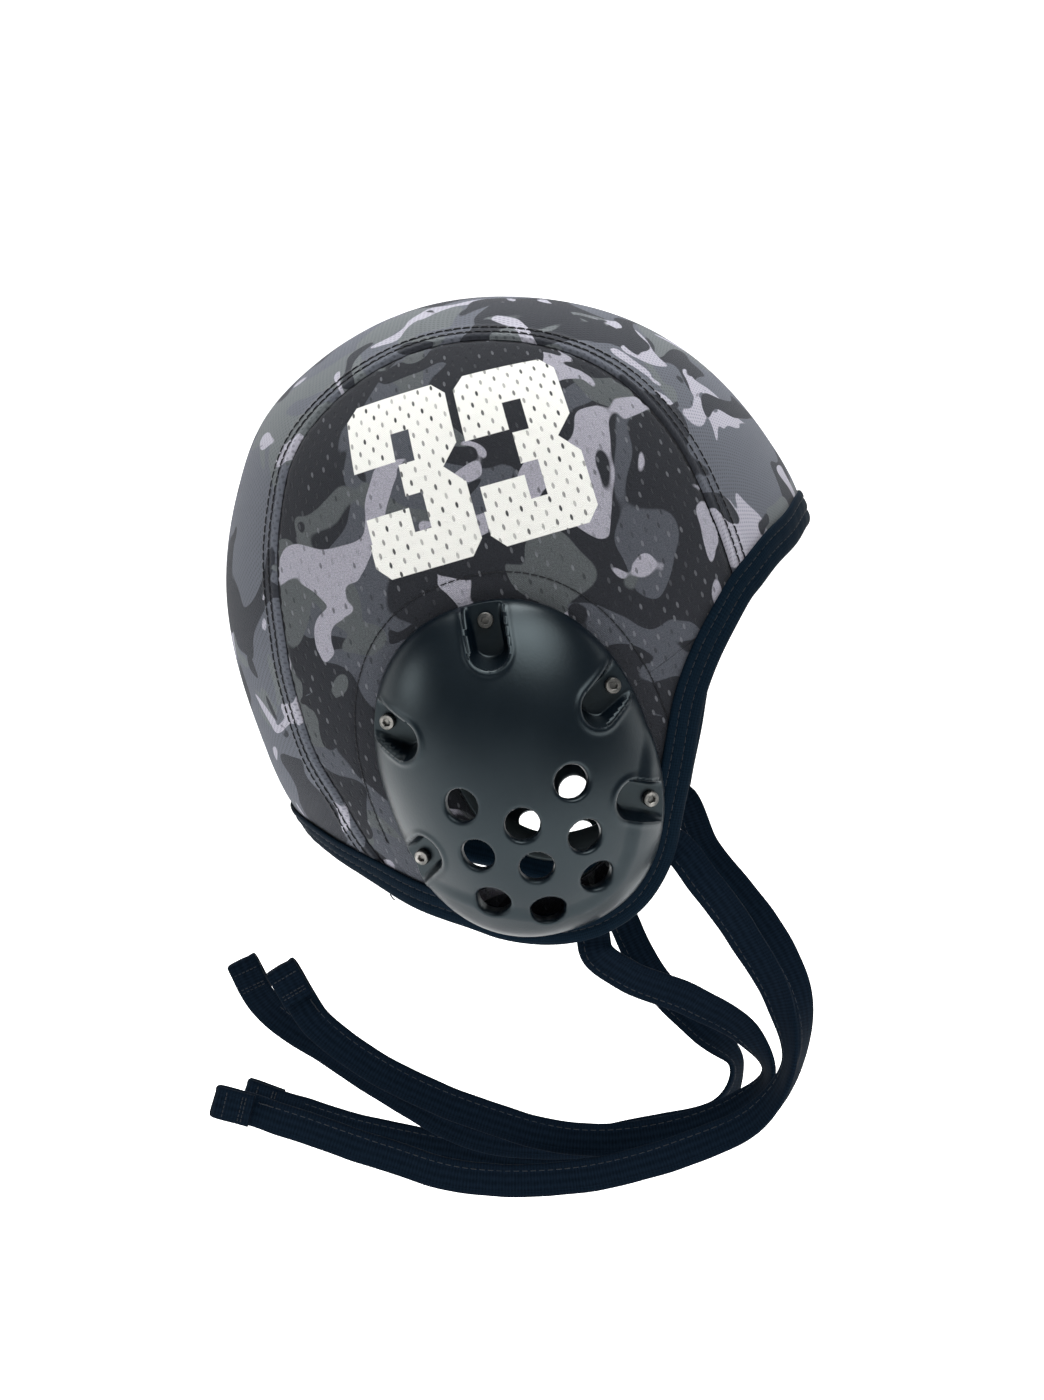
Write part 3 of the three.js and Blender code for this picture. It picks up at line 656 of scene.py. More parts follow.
def camouflage_group():
    """Blobs of like greys, in metres."""
    colours = [(label, "NodeSocketColor", None) for label in ("Base", "Dark", "Light", "Olive")]
    build, given, out = new_group(
        "blob_camouflage",
        [
            ("Vector", "NodeSocketVector", None),
            ("Scale", "NodeSocketFloat", 1.0),
            ("Dark Level", "NodeSocketFloat", 0.49),
            *colours,
        ],
        [("Color", "NodeSocketColor")],
    )
    size = build.math("MULTIPLY", given.outputs["Scale"], BLOB_SCALE)
    bent = build.add("TexNoise", {"Scale": size, "Detail": 1.0, "Vector": given.outputs["Vector"]})
    offset = build.vector("SUBTRACT", bent.outputs["Color"], (0.5, 0.5, 0.5))
    scaled = build.vector("MULTIPLY", offset, (BLOB_BEND, BLOB_BEND, BLOB_BEND))
    place = build.vector("ADD", given.outputs["Vector"], scaled)
    now = given.outputs["Base"]
    # Colour of each layer, shift and scale of its noise, level that the noise passes, distortion.
    layers = (
        ("Dark", (0.3, 0.1, 0.7), 0.9, given.outputs["Dark Level"], 0.7),
        ("Olive", (2.3, 1.1, 0.2), 1.1, 0.575, 0.8),
        ("Light", (5.1, 3.7, 1.9), 1.15, 0.6, 1.2),
        ("Dark", (7.7, 2.9, 4.4), 1.3, 0.625, 0.9),
    )
    for label, shift, scale, passed, distortion in layers:
        moved = build.vector("ADD", place, shift)
        times = build.math("MULTIPLY", size, scale)
        blob = build.add(
            "TexNoise",
            {"Vector": moved, "Scale": times, "Detail": 1.2, "Distortion": distortion},
        )
        over = build.math("SUBTRACT", blob.outputs[0], passed)
        mask = build.steps(over, -BLOB_EDGE, BLOB_EDGE)
        now = build.mix(mask, now, given.outputs[label])
    build.feed(out.inputs["Color"], now)
    return build.tree


def eyelet_group():
    """Staggered rows of slits knitted into the cloth, on a flat map in millimetres."""
    build, given, out = new_group(
        "knitted_eyelets",
        [
            ("Vector", "NodeSocketVector", None),
            ("Column Pitch", "NodeSocketFloat", 4.6),
            ("Row Pitch", "NodeSocketFloat", 3.7),
            ("Half Width", "NodeSocketFloat", 0.42),
            ("Half Length", "NodeSocketFloat", 0.95),
            ("Turn", "NodeSocketFloat", 0.3),
        ],
        [("Mask", "NodeSocketFloat"), ("Random", "NodeSocketFloat")],
    )
    turned = build.add("VectorRotate", {"Vector": given.outputs["Vector"]}, rotation_type="Z_AXIS")
    build.feed(turned.inputs["Angle"], build.math("MULTIPLY", given.outputs["Turn"], -1.0))
    flat = build.add("SeparateXYZ", {"Vector": turned.outputs[0]})
    down = build.math("DIVIDE", flat.outputs["Y"], given.outputs["Row Pitch"])
    row = build.math("FLOOR", down)
    shift = build.math("MULTIPLY", build.math("FLOORED_MODULO", row, 2.0), 0.5)
    unshifted = build.math("DIVIDE", flat.outputs["X"], given.outputs["Column Pitch"])
    over = build.math("ADD", unshifted, shift)
    column = build.math("FLOOR", over)
    squares = []
    for place, cell, pitch, half in (
        (over, column, "Column Pitch", "Half Width"),
        (down, row, "Row Pitch", "Half Length"),
    ):
        off = build.math("SUBTRACT", build.math("SUBTRACT", place, cell), 0.5)
        off = build.math("MULTIPLY", off, given.outputs[pitch])
        off = build.math("DIVIDE", off, given.outputs[half])
        squares.append(build.math("MULTIPLY", off, off))
    build.feed(out.inputs["Mask"], build.steps(build.math("ADD", *squares), 1.5, 0.6))
    cell = build.add("CombineXYZ", {"X": column, "Y": row})
    chance = build.add("TexWhiteNoise", {"Vector": cell.outputs[0]}, noise_dimensions="2D")
    build.feed(out.inputs["Random"], chance.outputs["Value"])
    return build.tree


# The bars of a block numeral three: middle across, middle up, half width and half height, in mm.
THREE_BARS = (
    (-10.0, 17.6, 7.1, 11.7),
    (0.0, 22.4, 17.1, 6.9),
    (10.2, 12.0, 7.0, 17.3),
    (7.5, -0.6, 9.7, 5.2),
    (10.2, -12.0, 7.0, 17.3),
    (0.0, -23.3, 17.1, 6.0),
    (-9.2, -19.4, 7.1, 9.9),
)


def numeral_group():
    """A block numeral three with cut corners, about its middle, in millimetres."""
    build, given, out = new_group(
        "block_three",
        [("Vector", "NodeSocketVector", None)],
        [("Mask", "NodeSocketFloat")],
    )
    inside = None
    for across, up, half_width, half_height in THREE_BARS:
        away = build.vector("ABSOLUTE", build.vector("SUBTRACT", given.outputs[0], (across, up, 0)))
        over = build.vector("SUBTRACT", away, (half_width, half_height, 0))
        parts = build.add("SeparateXYZ", {"Vector": over})
        distance = build.math("MAXIMUM", parts.outputs["X"], parts.outputs["Y"])
        inside = distance if inside is None else build.math("MINIMUM", inside, distance)
    across = build.add("SeparateXYZ", {"Vector": given.outputs[0]}).outputs["X"]
    away = build.add("SeparateXYZ", {"Vector": build.vector("ABSOLUTE", given.outputs[0])})
    corner = build.math("MULTIPLY_ADD", away.outputs["X"], 0.78, -30.2)
    corner = build.math("MULTIPLY_ADD", away.outputs["Y"], 0.68, corner)
    waist = build.math("MULTIPLY_ADD", away.outputs["Y"], -0.66, -8.6)
    waist = build.math("MULTIPLY_ADD", across, 0.75, waist)
    inside = build.math("MAXIMUM", inside, build.math("MAXIMUM", corner, waist))
    build.feed(out.inputs[0], build.steps(inside, 0.12, -0.12))
    return build.tree


def knit_group():
    """The small loops of a knitted cloth as a height, on a flat map in millimetres."""
    build, given, out = new_group(
        "fine_knit",
        [("Vector", "NodeSocketVector", None), ("Pitch", "NodeSocketFloat", 0.8)],
        [("Height", "NodeSocketFloat")],
    )
    flat = build.add("SeparateXYZ", {"Vector": given.outputs["Vector"]})
    turn = build.math("DIVIDE", 2 * math.pi, given.outputs["Pitch"])
    wales = build.waves(flat.outputs["X"], turn)
    courses = build.waves(flat.outputs["Y"], build.math("MULTIPLY", turn, 1.35))
    loops = build.math("MULTIPLY", wales, courses)
    grain = build.add("TexNoise", {"Vector": given.outputs["Vector"], "Scale": 1.3, "Detail": 2.0})
    height = build.math("MULTIPLY_ADD", loops, 0.25, 0.5)
    build.feed(out.inputs[0], build.math("MULTIPLY_ADD", grain.outputs[0], 0.5, height))
    return build.tree


def rib_group():
    """Ribs along a woven tape as a height, on a map of length and width in millimetres."""
    build, given, out = new_group(
        "tape_ribs",
        [("Vector", "NodeSocketVector", None), ("Pitch", "NodeSocketFloat", 0.75)],
        [("Height", "NodeSocketFloat")],
    )
    flat = build.add("SeparateXYZ", {"Vector": given.outputs["Vector"]})
    turn = build.math("DIVIDE", 2 * math.pi, given.outputs["Pitch"])
    across = build.waves(flat.outputs["Y"], turn)
    along = build.waves(flat.outputs["X"], build.math("MULTIPLY", turn, 0.8))
    fuzz = build.add("TexNoise", {"Vector": given.outputs["Vector"], "Scale": 1.6, "Detail": 3.0})
    height = build.math("MULTIPLY_ADD", across, 0.1, 0.5)
    height = build.math("MULTIPLY_ADD", along, 0.1, height)
    build.feed(out.inputs[0], build.math("MULTIPLY_ADD", fuzz.outputs[0], 0.5, height))
    return build.tree


def wear_group():
    """Slow and fine unevenness over a surface, between nought and one."""
    build, given, out = new_group(
        "uneven_finish",
        [("Vector", "NodeSocketVector", None), ("Scale", "NodeSocketFloat", 30.0)],
        [("Value", "NodeSocketFloat"), ("Fine", "NodeSocketFloat")],
    )
    place, scale = given.outputs[0], given.outputs[1]
    slow = build.add("TexNoise", {"Vector": place, "Scale": scale, "Detail": 3.0})
    often = build.math("MULTIPLY", scale, 40.0)
    fine = build.add("TexNoise", {"Vector": place, "Scale": often, "Detail": 2.0})
    build.feed(out.inputs["Value"], slow.outputs[0])
    build.feed(out.inputs["Fine"], fine.outputs[0])
    return build.tree


def shared_group(name, make):
    return bpy.data.node_groups.get(name) or make()


def wear_on(build, place, scale):
    """The uneven finish of one surface."""
    return build.group(
        shared_group("uneven_finish", wear_group), {"Vector": place, "Scale": scale}
    )


def new_material(name, roughness, **sockets):
    """A material, its tree and its Principled shader, with constant sockets set."""
    material = bpy.data.materials.new(name)
    material.use_nodes = True
    build = Tree(material.node_tree)
    shader = material.node_tree.nodes["Principled BSDF"]
    shader.inputs["Roughness"].default_value = roughness
    for key, value in sockets.items():
        shader.inputs[key.replace("_", " ")].default_value = value
    return material, build, shader


def object_place(build):
    return build.add("TexCoord").outputs["Object"]


def flat_place(build):
    """The piece's own flat map, in millimetres."""
    uv = build.add("UVMap", uv_map="UVMap").outputs[0]
    return build.vector("MULTIPLY", uv, (100, 100, 0))


def bumped(build, shader, height, distance, strength=1.0):
    bump = build.add("Bump", {"Height": height, "Distance": distance, "Strength": strength})
    build.feed(shader.inputs["Normal"], bump.outputs[0])


def camouflage(build, settings, shift, scale, dark_level, painted_light_gain=1.0):
    """The printed camouflage of a panel. A gain above one lightens its colours as painted light,
    making a lighter copy of the print.
    """
    place = build.vector("ADD", object_place(build), shift)
    inputs = {"Vector": place, "Scale": scale, "Dark Level": dark_level}
    for label, tint in (
        ("Base", settings.mid), ("Dark", settings.dark), ("Light", settings.light),
        ("Olive", settings.olive),
    ):
        share = math.sqrt(painted_light_gain) if label == "Light" else painted_light_gain
        inputs[label] = colour(tuple(share * value for value in tint))
    return build.group(shared_group("blob_camouflage", camouflage_group), inputs)["Color"]


# How far the rows of eyelets lean on a side panel, in radians.
EYELET_TURN = 0.33


def side_print(settings, hand):
    """Printed perforated cloth with the player number, for the right or the left side."""
    name = "side_print_right" if hand < 0 else "side_print_left"
    material, build, shader = new_material(
        name, 0.88, Sheen_Weight=0.05, Sheen_Roughness=0.5, Specular_IOR_Level=0.15
    )
    flat = flat_place(build)
    number = build.add("Mapping", {"Vector": flat}, vector_type="TEXTURE")
    number.inputs["Location"].default_value = (-hand * settings.number_ahead, settings.number_up, 0)
    number.inputs["Rotation"].default_value = (0, 0, -hand * settings.number_turn)
    pitch = settings.number_pitch / 2
    digit = shared_group("block_three", numeral_group)
    digits = []
    for shift in (pitch, -pitch):
        about = build.vector("ADD", number.outputs[0], (shift, 0, 0))
        digits.append(build.group(digit, {"Vector": about})[0])
    printed = build.math("MAXIMUM", *digits)
    eyelets = build.group(
        shared_group("knitted_eyelets", eyelet_group),
        {"Vector": flat, "Turn": EYELET_TURN * -hand},
    )

    def in_eyelets(low, high, to_low, to_high):
        """How strongly each eyelet takes a tint, from its own random number."""
        share = build.steps(eyelets["Random"], low, high, to_low, to_high)
        return build.math("MULTIPLY", eyelets["Mask"], share)

    pattern = camouflage(build, settings, (1.3, 0.4 + 0.9 * hand, 2.2), 1.0, 0.485)
    shade = build.steps(wear_on(build, flat, 0.05)["Fine"], 0.3, 0.7, 0.8, 1.15)
    shades = build.add("CombineXYZ", dict.fromkeys("XYZ", shade)).outputs[0]
    faded = build.vector("MULTIPLY", pattern, shades)
    cloth = build.mix(printed, faded, colour(settings.number))
    # Eyelets on the camouflage: some show bare thread as pale flecks, some take painted shade, the
    # dark inside the hole; on the number every eyelet takes that painted shade.
    flecked = build.mix(in_eyelets(0.5, 0.9, 0.0, 0.45), cloth, colour(settings.fleck))
    on_dark = build.mix(in_eyelets(0.5, 0.1, 0.0, 0.6), flecked, colour(settings.hole))
    on_light = build.mix(in_eyelets(0.0, 1.0, 0.4, 0.95), cloth, colour(settings.hole))
    build.feed(shader.inputs["Base Color"], build.mix(printed, on_dark, on_light))
    knit = build.group(shared_group("fine_knit", knit_group), {"Vector": flat, "Pitch": 0.85})[0]
    height = build.math("MULTIPLY_ADD", eyelets["Mask"], -0.9, knit)
    bumped(build, shader, height, 0.00035, 0.8)
    return material


def crown_knit(settings):
    """Finer printed cloth for the centre panel."""
    material, build, shader = new_material(
        "crown_knit", 0.86, Sheen_Weight=0.06, Sheen_Roughness=0.5, Specular_IOR_Level=0.15
    )
    flat = flat_place(build)
    # Painted light: the crown's camouflage is the sides' colours made 1.6 times lighter, for the
    # light falling on the top.
    pattern = camouflage(build, settings, (4.1, 2.6, 0.9), 1.1, 0.545, 1.6)
    dots = build.group(
        shared_group("knitted_eyelets", eyelet_group),
        {
            "Vector": flat,
            "Column Pitch": 1.5,
            "Row Pitch": 1.25,
            "Half Width": 0.3,
            "Half Length": 0.42,
            "Turn": 0.0,
        },
    )
    # Painted shade: the fine dots of the knit take the dark seen inside its small holes.
    soft = build.math("MULTIPLY", dots["Mask"], 0.35)
    build.feed(shader.inputs["Base Color"], build.mix(soft, pattern, colour(settings.hole)))
    knit = build.group(shared_group("fine_knit", knit_group), {"Vector": flat, "Pitch": 0.7})[0]
    height = build.math("MULTIPLY_ADD", dots["Mask"], -0.6, knit)
    bumped(build, shader, height, 0.00025, 0.8)
    return material


def tape_cloth(name, tint, highlight):
    """Ribbed woven tape, lighter on its raised ribs: a painted highlight."""
    material, build, shader = new_material(
        name, 0.8, Sheen_Weight=0.004, Sheen_Roughness=0.4, Specular_IOR_Level=0.04
    )
    flat = flat_place(build)
    ribs = build.group(shared_group("tape_ribs", rib_group), {"Vector": flat, "Pitch": 0.8})[0]
    # Painted highlight: the tape is lighter where its ribs stand high.
    mask = build.steps(ribs, 0.45, 1.05)
    build.feed(shader.inputs["Base Color"], build.mix(mask, colour(tint), colour(highlight)))
    bumped(build, shader, ribs, 0.0001, 0.5)
    return material


def thread(name, tint):
    """Twisted sewing thread."""
    material, build, shader = new_material(name, 0.6, Specular_IOR_Level=0.3)
    wear = wear_on(build, object_place(build), 60.0)
    mask = build.steps(wear["Fine"], 0.35, 0.65)
    darker = tuple(0.55 * value for value in tint)
    build.feed(shader.inputs["Base Color"], build.mix(mask, colour(darker), colour(tint)))
    bumped(build, shader, wear["Fine"], 0.0001)
    return material


def moulded_plastic(name, tint, roughness):
    """Satin moulded plastic with a faint grain."""
    material, build, shader = new_material(
        name, roughness, Specular_IOR_Level=0.4, Specular_Tint=(0.78, 0.95, 1.0, 1.0)
    )
    wear = wear_on(build, object_place(build), 25.0)
    paler = tuple(1.5 * value + 0.0004 for value in tint)
    build.feed(shader.inputs["Base Color"], build.mix(wear["Value"], colour(tint), colour(paler)))
    rough = build.steps(wear["Value"], 0.3, 0.7, roughness - 0.05, roughness + 0.06)
    build.feed(shader.inputs["Roughness"], rough)
    bumped(build, shader, wear["Fine"], 0.00004, 0.6)
    return material


def blackened_steel():
    """Dark oxide on the guard screws, a little lighter in small random patches."""
    material, build, shader = new_material("screw_steel", 0.35, Metallic=0.9)
    wear = wear_on(build, object_place(build), 300.0)
    mask = build.steps(wear["Value"], 0.4, 0.7)
    base = build.mix(mask, (0.1, 0.1, 0.095, 1), (0.3, 0.29, 0.27, 1))
    build.feed(shader.inputs["Base Color"], base)
    build.feed(shader.inputs["Roughness"], build.steps(wear["Fine"], 0.2, 0.8, 0.25, 0.5))
    return material


# Cloth panels


def side_outline(at):
    """The edge of the right side panel: back along the seam, then forwards along the hem."""
    share = seam_share(np.clip(at, 0, SEAM_STEPS) / SEAM_STEPS)
    on_seam = at_angle(seam_angle(share), -seam_side(share) - SEAM_GAP)
    on_hem = in_from_edge(SEAM_BACK - np.maximum(at - SEAM_STEPS, 0), CLOTH_INSET)
    return np.where((at <= SEAM_STEPS)[..., None], on_seam, on_hem)


OUTLINE_STATIONS = SEAM_STEPS + SEAM_BACK - SEAM_FRONT
ARC_OUT = 7.2
GUARD_MEAN = 46.0


def guard_share_at(x, z):
    """Shares of the way out from a guard's middle, and angles, of places in the side view."""
    angle = np.arctan2(z + GUARD_DOWN, x - GUARD_FORWARD)
    rim_x, rim_z = guard_place(angle, 1.0)
    rim = np.hypot(rim_x - GUARD_FORWARD, rim_z + GUARD_DOWN)
    return np.hypot(x - GUARD_FORWARD, z + GUARD_DOWN) / rim, angle


def cloth_relief(points):
    """Soft waves in worn cloth and the pucker along the stitched arc round the guard."""
    x, y, z = np.moveaxis(points, -1, 0)
    wave = 0.22 * np.sin(x / 13 + 0.8) * np.sin(z / 17 + y / 29)
    share, angle = guard_share_at(x, z)
    off = (share - 1) * GUARD_MEAN - ARC_OUT
    on_side = smooth(np.abs(y), 45, 60)
    arc = -0.3 * np.exp(-((off / 0.7) ** 2)) + 0.16 * ripple(angle * 38) * np.exp(-np.abs(off) / 3)
    return wave + on_side * arc


def side_cloth(at, share, relief=True):
    """The outer face of the right side panel, from its outline to the ear opening."""
    outer = side_outline(at)
    angle = np.arctan2(outer[..., 2] + GUARD_DOWN, outer[..., 0] - GUARD_FORWARD)
    inner_x, inner_z = guard_place(angle, EAR_OPENING)
    x = outer[..., 0] + (inner_x - outer[..., 0]) * share
    z = outer[..., 2] + (inner_z - outer[..., 2]) * share
    points = np.where((share < 1e-6)[..., None], outer, at_side(x, z))
    if not relief:
        return points
    away = np.linalg.norm(points - outer, axis=-1)
    on_seam = smooth(at, 0, 0.8) * (1 - smooth(at, SEAM_STEPS - 0.8, SEAM_STEPS))
    tuck = -0.95 * np.exp(-((away / 1.5) ** 2)) + 0.24 * ripple(at * 18.5) * np.exp(-away / 3.5)
    return points + outward(points) * (on_seam * tuck + cloth_relief(points))[..., None]


def centre_cloth(along, across):
    """The centre panel's cloth. Across runs from -1 at the right seam to 1 at the left."""
    steps = np.abs(across) * SEAM_FRONT
    front = in_from_edge(steps, CLOTH_INSET)
    back = in_from_edge(len(RIGHT_EDGE) - 1 - steps, CLOTH_INSET)
    share = seam_share(along)
    front_share = np.abs(front[..., 1]) / SEAM_SIDES[0]
    back_share = np.abs(back[..., 1]) / SEAM_SIDES[-1]
    side = seam_side(share) * (front_share + (back_share - front_share) * share)
    start = angle_of(front)
    angle = start + (angle_of(back) + 360 - start) * share
    return at_angle(angle, np.sign(across) * side)


SEAM_ROWS = (3.0, 5.7)
SEAM_ROW_HEIGHT = 0.58
SEAM_LENGTH = 440.0
# The share of the seam at either end that its threads leave bare.
SEAM_END = 0.004
ARC_HEIGHT = 0.38
ARC_SPAN = (8, 212)
# The overlock: half its width, half its thickness and the way round it.
OVERLOCK_HALF = 3.4
OVERLOCK_DEPTH = 0.32
OVERLOCK_AROUND = 14.0


def seam_relief(away, along):
    """The raised allowance beside the seam: its rolled edge and the grooves of its stitches."""
    band = 0.5 * (1 - smooth(away, 6.4, 8.6))
    grooves = sum(np.exp(-(((away - row) / 0.55) ** 2)) for row in SEAM_ROWS)
    roll = -1.1 * np.exp(-((away / 0.6) ** 2))
    pucker = 0.14 * ripple(along * 1.15) * np.exp(-((away - 4) ** 2) / 22)
    return band - 0.3 * grooves + roll + pucker


class CapCloth(bpy.types.PropertyGroup):
    """Sizes and colours of the printed cloth."""

    thickness: bpy.props.FloatProperty(
        name="Cloth thickness", description="Thickness of the panels", default=0.0013,
        unit="LENGTH", precision=4,
    )
    dark: bpy.props.FloatVectorProperty(
        name="Dark", description="Darkest camouflage grey", subtype="COLOR",
        default=srgb(36, 38, 43),
    )
    mid: bpy.props.FloatVectorProperty(
        name="Mid", description="Middle camouflage grey", subtype="COLOR",
        default=srgb(72, 75, 82),
    )
    light: bpy.props.FloatVectorProperty(
        name="Light", description="Lightest camouflage grey", subtype="COLOR",
        default=srgb(148, 147, 157),
    )
    olive: bpy.props.FloatVectorProperty(
        name="Olive", description="Olive camouflage grey", subtype="COLOR",
        default=srgb(78, 82, 84),
    )
    number: bpy.props.FloatVectorProperty(
        name="Number", description="Print of the player number", subtype="COLOR",
        default=srgb(226, 226, 221),
    )
    # Painted shade: the dark seen inside an eyelet's hole.
    hole: bpy.props.FloatVectorProperty(
        name="Eyelet", description="Inside an eyelet", subtype="COLOR", default=srgb(40, 42, 46)
    )
    fleck: bpy.props.FloatVectorProperty(
        name="Fleck", description="Bare thread at an eyelet", subtype="COLOR",
        default=srgb(122, 124, 130),
    )
    number_ahead: bpy.props.FloatProperty(
        name="Number ahead", description="Middle of the number on the flat map, mm", default=-10.2
    )
    number_up: bpy.props.FloatProperty(
        name="Number up", description="Middle of the number on the flat map, mm", default=43.0
    )
    number_turn: bpy.props.FloatProperty(
        name="Number turn", description="Tilt of the number", default=math.radians(16.4),
        subtype="ANGLE",
    )
    number_pitch: bpy.props.FloatProperty(
        name="Number pitch", description="From numeral to numeral, mm", default=37.1
    )


class CAP_OT_cloth_panels(bpy.types.Operator):
    """Makes the centre panel and the two side panels"""

    bl_idname = "cap.cloth_panels"
    bl_label = "Cloth Panels"

    def execute(self, context):
        settings = context.scene.cap_cloth
        for hand, side in HANDS:
            self.side_panel(settings, hand, side)
        self.centre_panel(settings)
        return {"FINISHED"}

    def thicken(self, obj, settings):
        solid = obj.modifiers.new("Cloth", "SOLIDIFY")
        solid.thickness = settings.thickness
        solid.offset = -1
        solid.use_even_offset = True

    def side_panel(self, settings, hand, side):
        bm = bmesh.new()

        def place(u, v):
            return side_cloth(u * OUTLINE_STATIONS, v**1.5)

        def flat(u, v, points):
            bare = side_cloth(u * OUTLINE_STATIONS, v**1.5, relief=False)
            return side_map(bare) * np.array([-hand, 1])

        patch(bm, 12 * OUTLINE_STATIONS, 60, place, flat, closed=True)
        turn_out(bm)
        name = "side_panel_" + side
        material = side_print(settings, hand)
        obj = finish_piece(name + "_cloth", bm, hand, material, [name])
        self.thicken(obj, settings)

    def centre_panel(self, settings):
        bm = bmesh.new()

        def bare(u, v):
            w = 2 * v - 1
            return centre_cloth(u, np.sign(w) * (1 - (1 - np.abs(w)) ** 1.6))

        def place(u, v):
            points = bare(u, v)
            border = centre_cloth(u, np.where(v < 0.5, -1.0, 1.0))
            away = np.linalg.norm(points - border, axis=-1)
            ends = smooth(u, 0, 0.02) * (1 - smooth(u, 0.98, 1))
            height = ends * seam_relief(away, u * SEAM_LENGTH) + cloth_relief(points)
            return points + outward(points) * height[..., None]

        def flat(u, v, points):
            side = bare(u, v)[:, 1]
            return np.stack([side * 1.15, u * SEAM_LENGTH], axis=-1)

        patch(bm, 360, 88, place, flat)
        turn_out(bm)
        material = crown_knit(settings)
        obj = finish_piece("centre_panel_cloth", bm, 0, material, ["centre_panel"])
        self.thicken(obj, settings)


class CAP_OT_seams(bpy.types.Operator):
    """Sews the seams: two rows of stitches, the arc round each guard and the overlock inside"""

    bl_idname = "cap.seams"
    bl_label = "Seams"

    def execute(self, context):
        black = thread("seam_thread", srgb(18, 20, 27))
        for hand, side in HANDS:
            bm = bmesh.new()
            share = seam_share(np.linspace(SEAM_END, 1 - SEAM_END, 900))
            for row in SEAM_ROWS:
                self.sew(bm, seam_line(share, row), SEAM_ROW_HEIGHT, SEAM_STITCH)
            angle = np.radians(np.linspace(*ARC_SPAN, 500))
            arc = at_side(*guard_place(angle, 1 + ARC_OUT / GUARD_MEAN))
            self.sew(bm, arc, ARC_HEIGHT, ARC_STITCH)
            finish_piece("topstitching_" + side, bm, hand, black)
            self.overlock(hand, side, black)
        return {"FINISHED"}

    def sew(self, bm, line, height, stitch):
        normals = outward(line)
        lift = cloth_relief(line)[:, None] + height
        add_stitches(bm, line + normals * lift, normals, *stitch)

    def overlock(self, hand, side, material):
        """A flat band of thread inside the cap that closes the seam."""
        bm = bmesh.new()

        def place(u, v):
            turn = 2 * math.pi * u
            share = seam_share(SEAM_END + (1 - 2 * SEAM_END) * v)
            line = seam_line(share, OVERLOCK_HALF * np.cos(turn) + 0.15)
            depth = -FABRIC + 0.15 + OVERLOCK_DEPTH * np.sin(turn) + 0.08 * ripple(v * 1500)
            return line + outward(line) * depth[..., None]

        def flat(u, v, points):
            return np.stack([v * SEAM_LENGTH, u * OVERLOCK_AROUND], axis=-1)

        patch(bm, 14, 320, place, flat, closed=True)
        close_ends(bm)
        finish_piece("seam_overlock_" + side, bm, hand, material)


# Edge tape

# The folded tape in section: distance in from the lower edge, and height over the cloth.
TAPE_SECTION = (
    (11.5, 0.75), (11.35, 1.2), (10.9, 1.5), (10.0, 1.62), (9.1, 1.5), (8.75, 1.16),
    (8.4, 1.42), (7.4, 1.66), (6.2, 1.72), (5.2, 1.5), (4.9, 1.26), (4.6, 1.5), (3.4, 1.78),
    (1.9, 1.72), (0.7, 1.3), (-0.1, 0.5), (-0.35, -0.7), (-0.1, -1.9), (0.7, -2.7), (2.0, -3.0),
    (5.0, -3.05), (9.0, -3.0), (11.2, -2.7), (11.5, -2.3), (11.2, -2.05), (9.0, -2.0),
    (2.0, -1.95), (1.2, -0.75), (2.0, 0.35), (9.0, 0.45), (11.2, 0.5),
)
# Each row of stitches: distance in from the lower edge, and height over the cloth.
TAPE_ROWS = ((8.75, 1.3), (4.9, 1.38), (8.75, -3.02))
TAPE_LENGTH = 760.0
TAPE_AROUND = 36.0


def tape_height(at, inset, height):
    """Height of the tape with its gathers: it puffs unevenly between its stitches."""
    outer = smooth(height, 0.6, 1.2)
    puff = 0.16 * ripple(at * 11.0 + inset * 0.4) * smooth(inset, 0, 3) * (1 - smooth(inset, 9, 11))
    return height + outer * puff


class CAP_OT_edge_binding(bpy.types.Operator):
    """Makes the tape folded over the lower edge, and its stitches"""

    bl_idname = "cap.edge_binding"
    bl_label = "Edge Binding"

    def execute(self, context):
        tape = context.scene.cap_tape
        material = tape_cloth("edge_tape", tape.binding, tape.rib_highlight)
        section = np.array(TAPE_SECTION)
        bm = bmesh.new()

        def place(u, v):
            at = u * EDGE_STATIONS
            inset, height = through(section, v * len(section)).T
            base = in_from_edge(at, inset)
            return base + outward(base) * tape_height(at, inset, height)[..., None]

        def flat(u, v, points):
            return np.stack([u * TAPE_LENGTH, v * TAPE_AROUND], axis=-1)

        patch(bm, 11 * EDGE_STATIONS, 3 * len(section), place, flat, closed=True)
        bmesh.ops.recalc_face_normals(bm, faces=bm.faces)
        finish_piece("edge_binding_tape", bm, 0, material, ["edge_binding"])
        bm = bmesh.new()
        at = np.linspace(0, EDGE_STATIONS, 1600)
        for inset, height in TAPE_ROWS:
            line = in_from_edge(at, inset + 0 * at)
            normals = outward(line)
            add_stitches(bm, line + normals * height, normals, *TAPE_STITCH)
        sewing = thread("tape_thread", tape.thread)
        finish_piece("edge_stitching", bm, 0, sewing)
        return {"FINISHED"}


# Ear guards


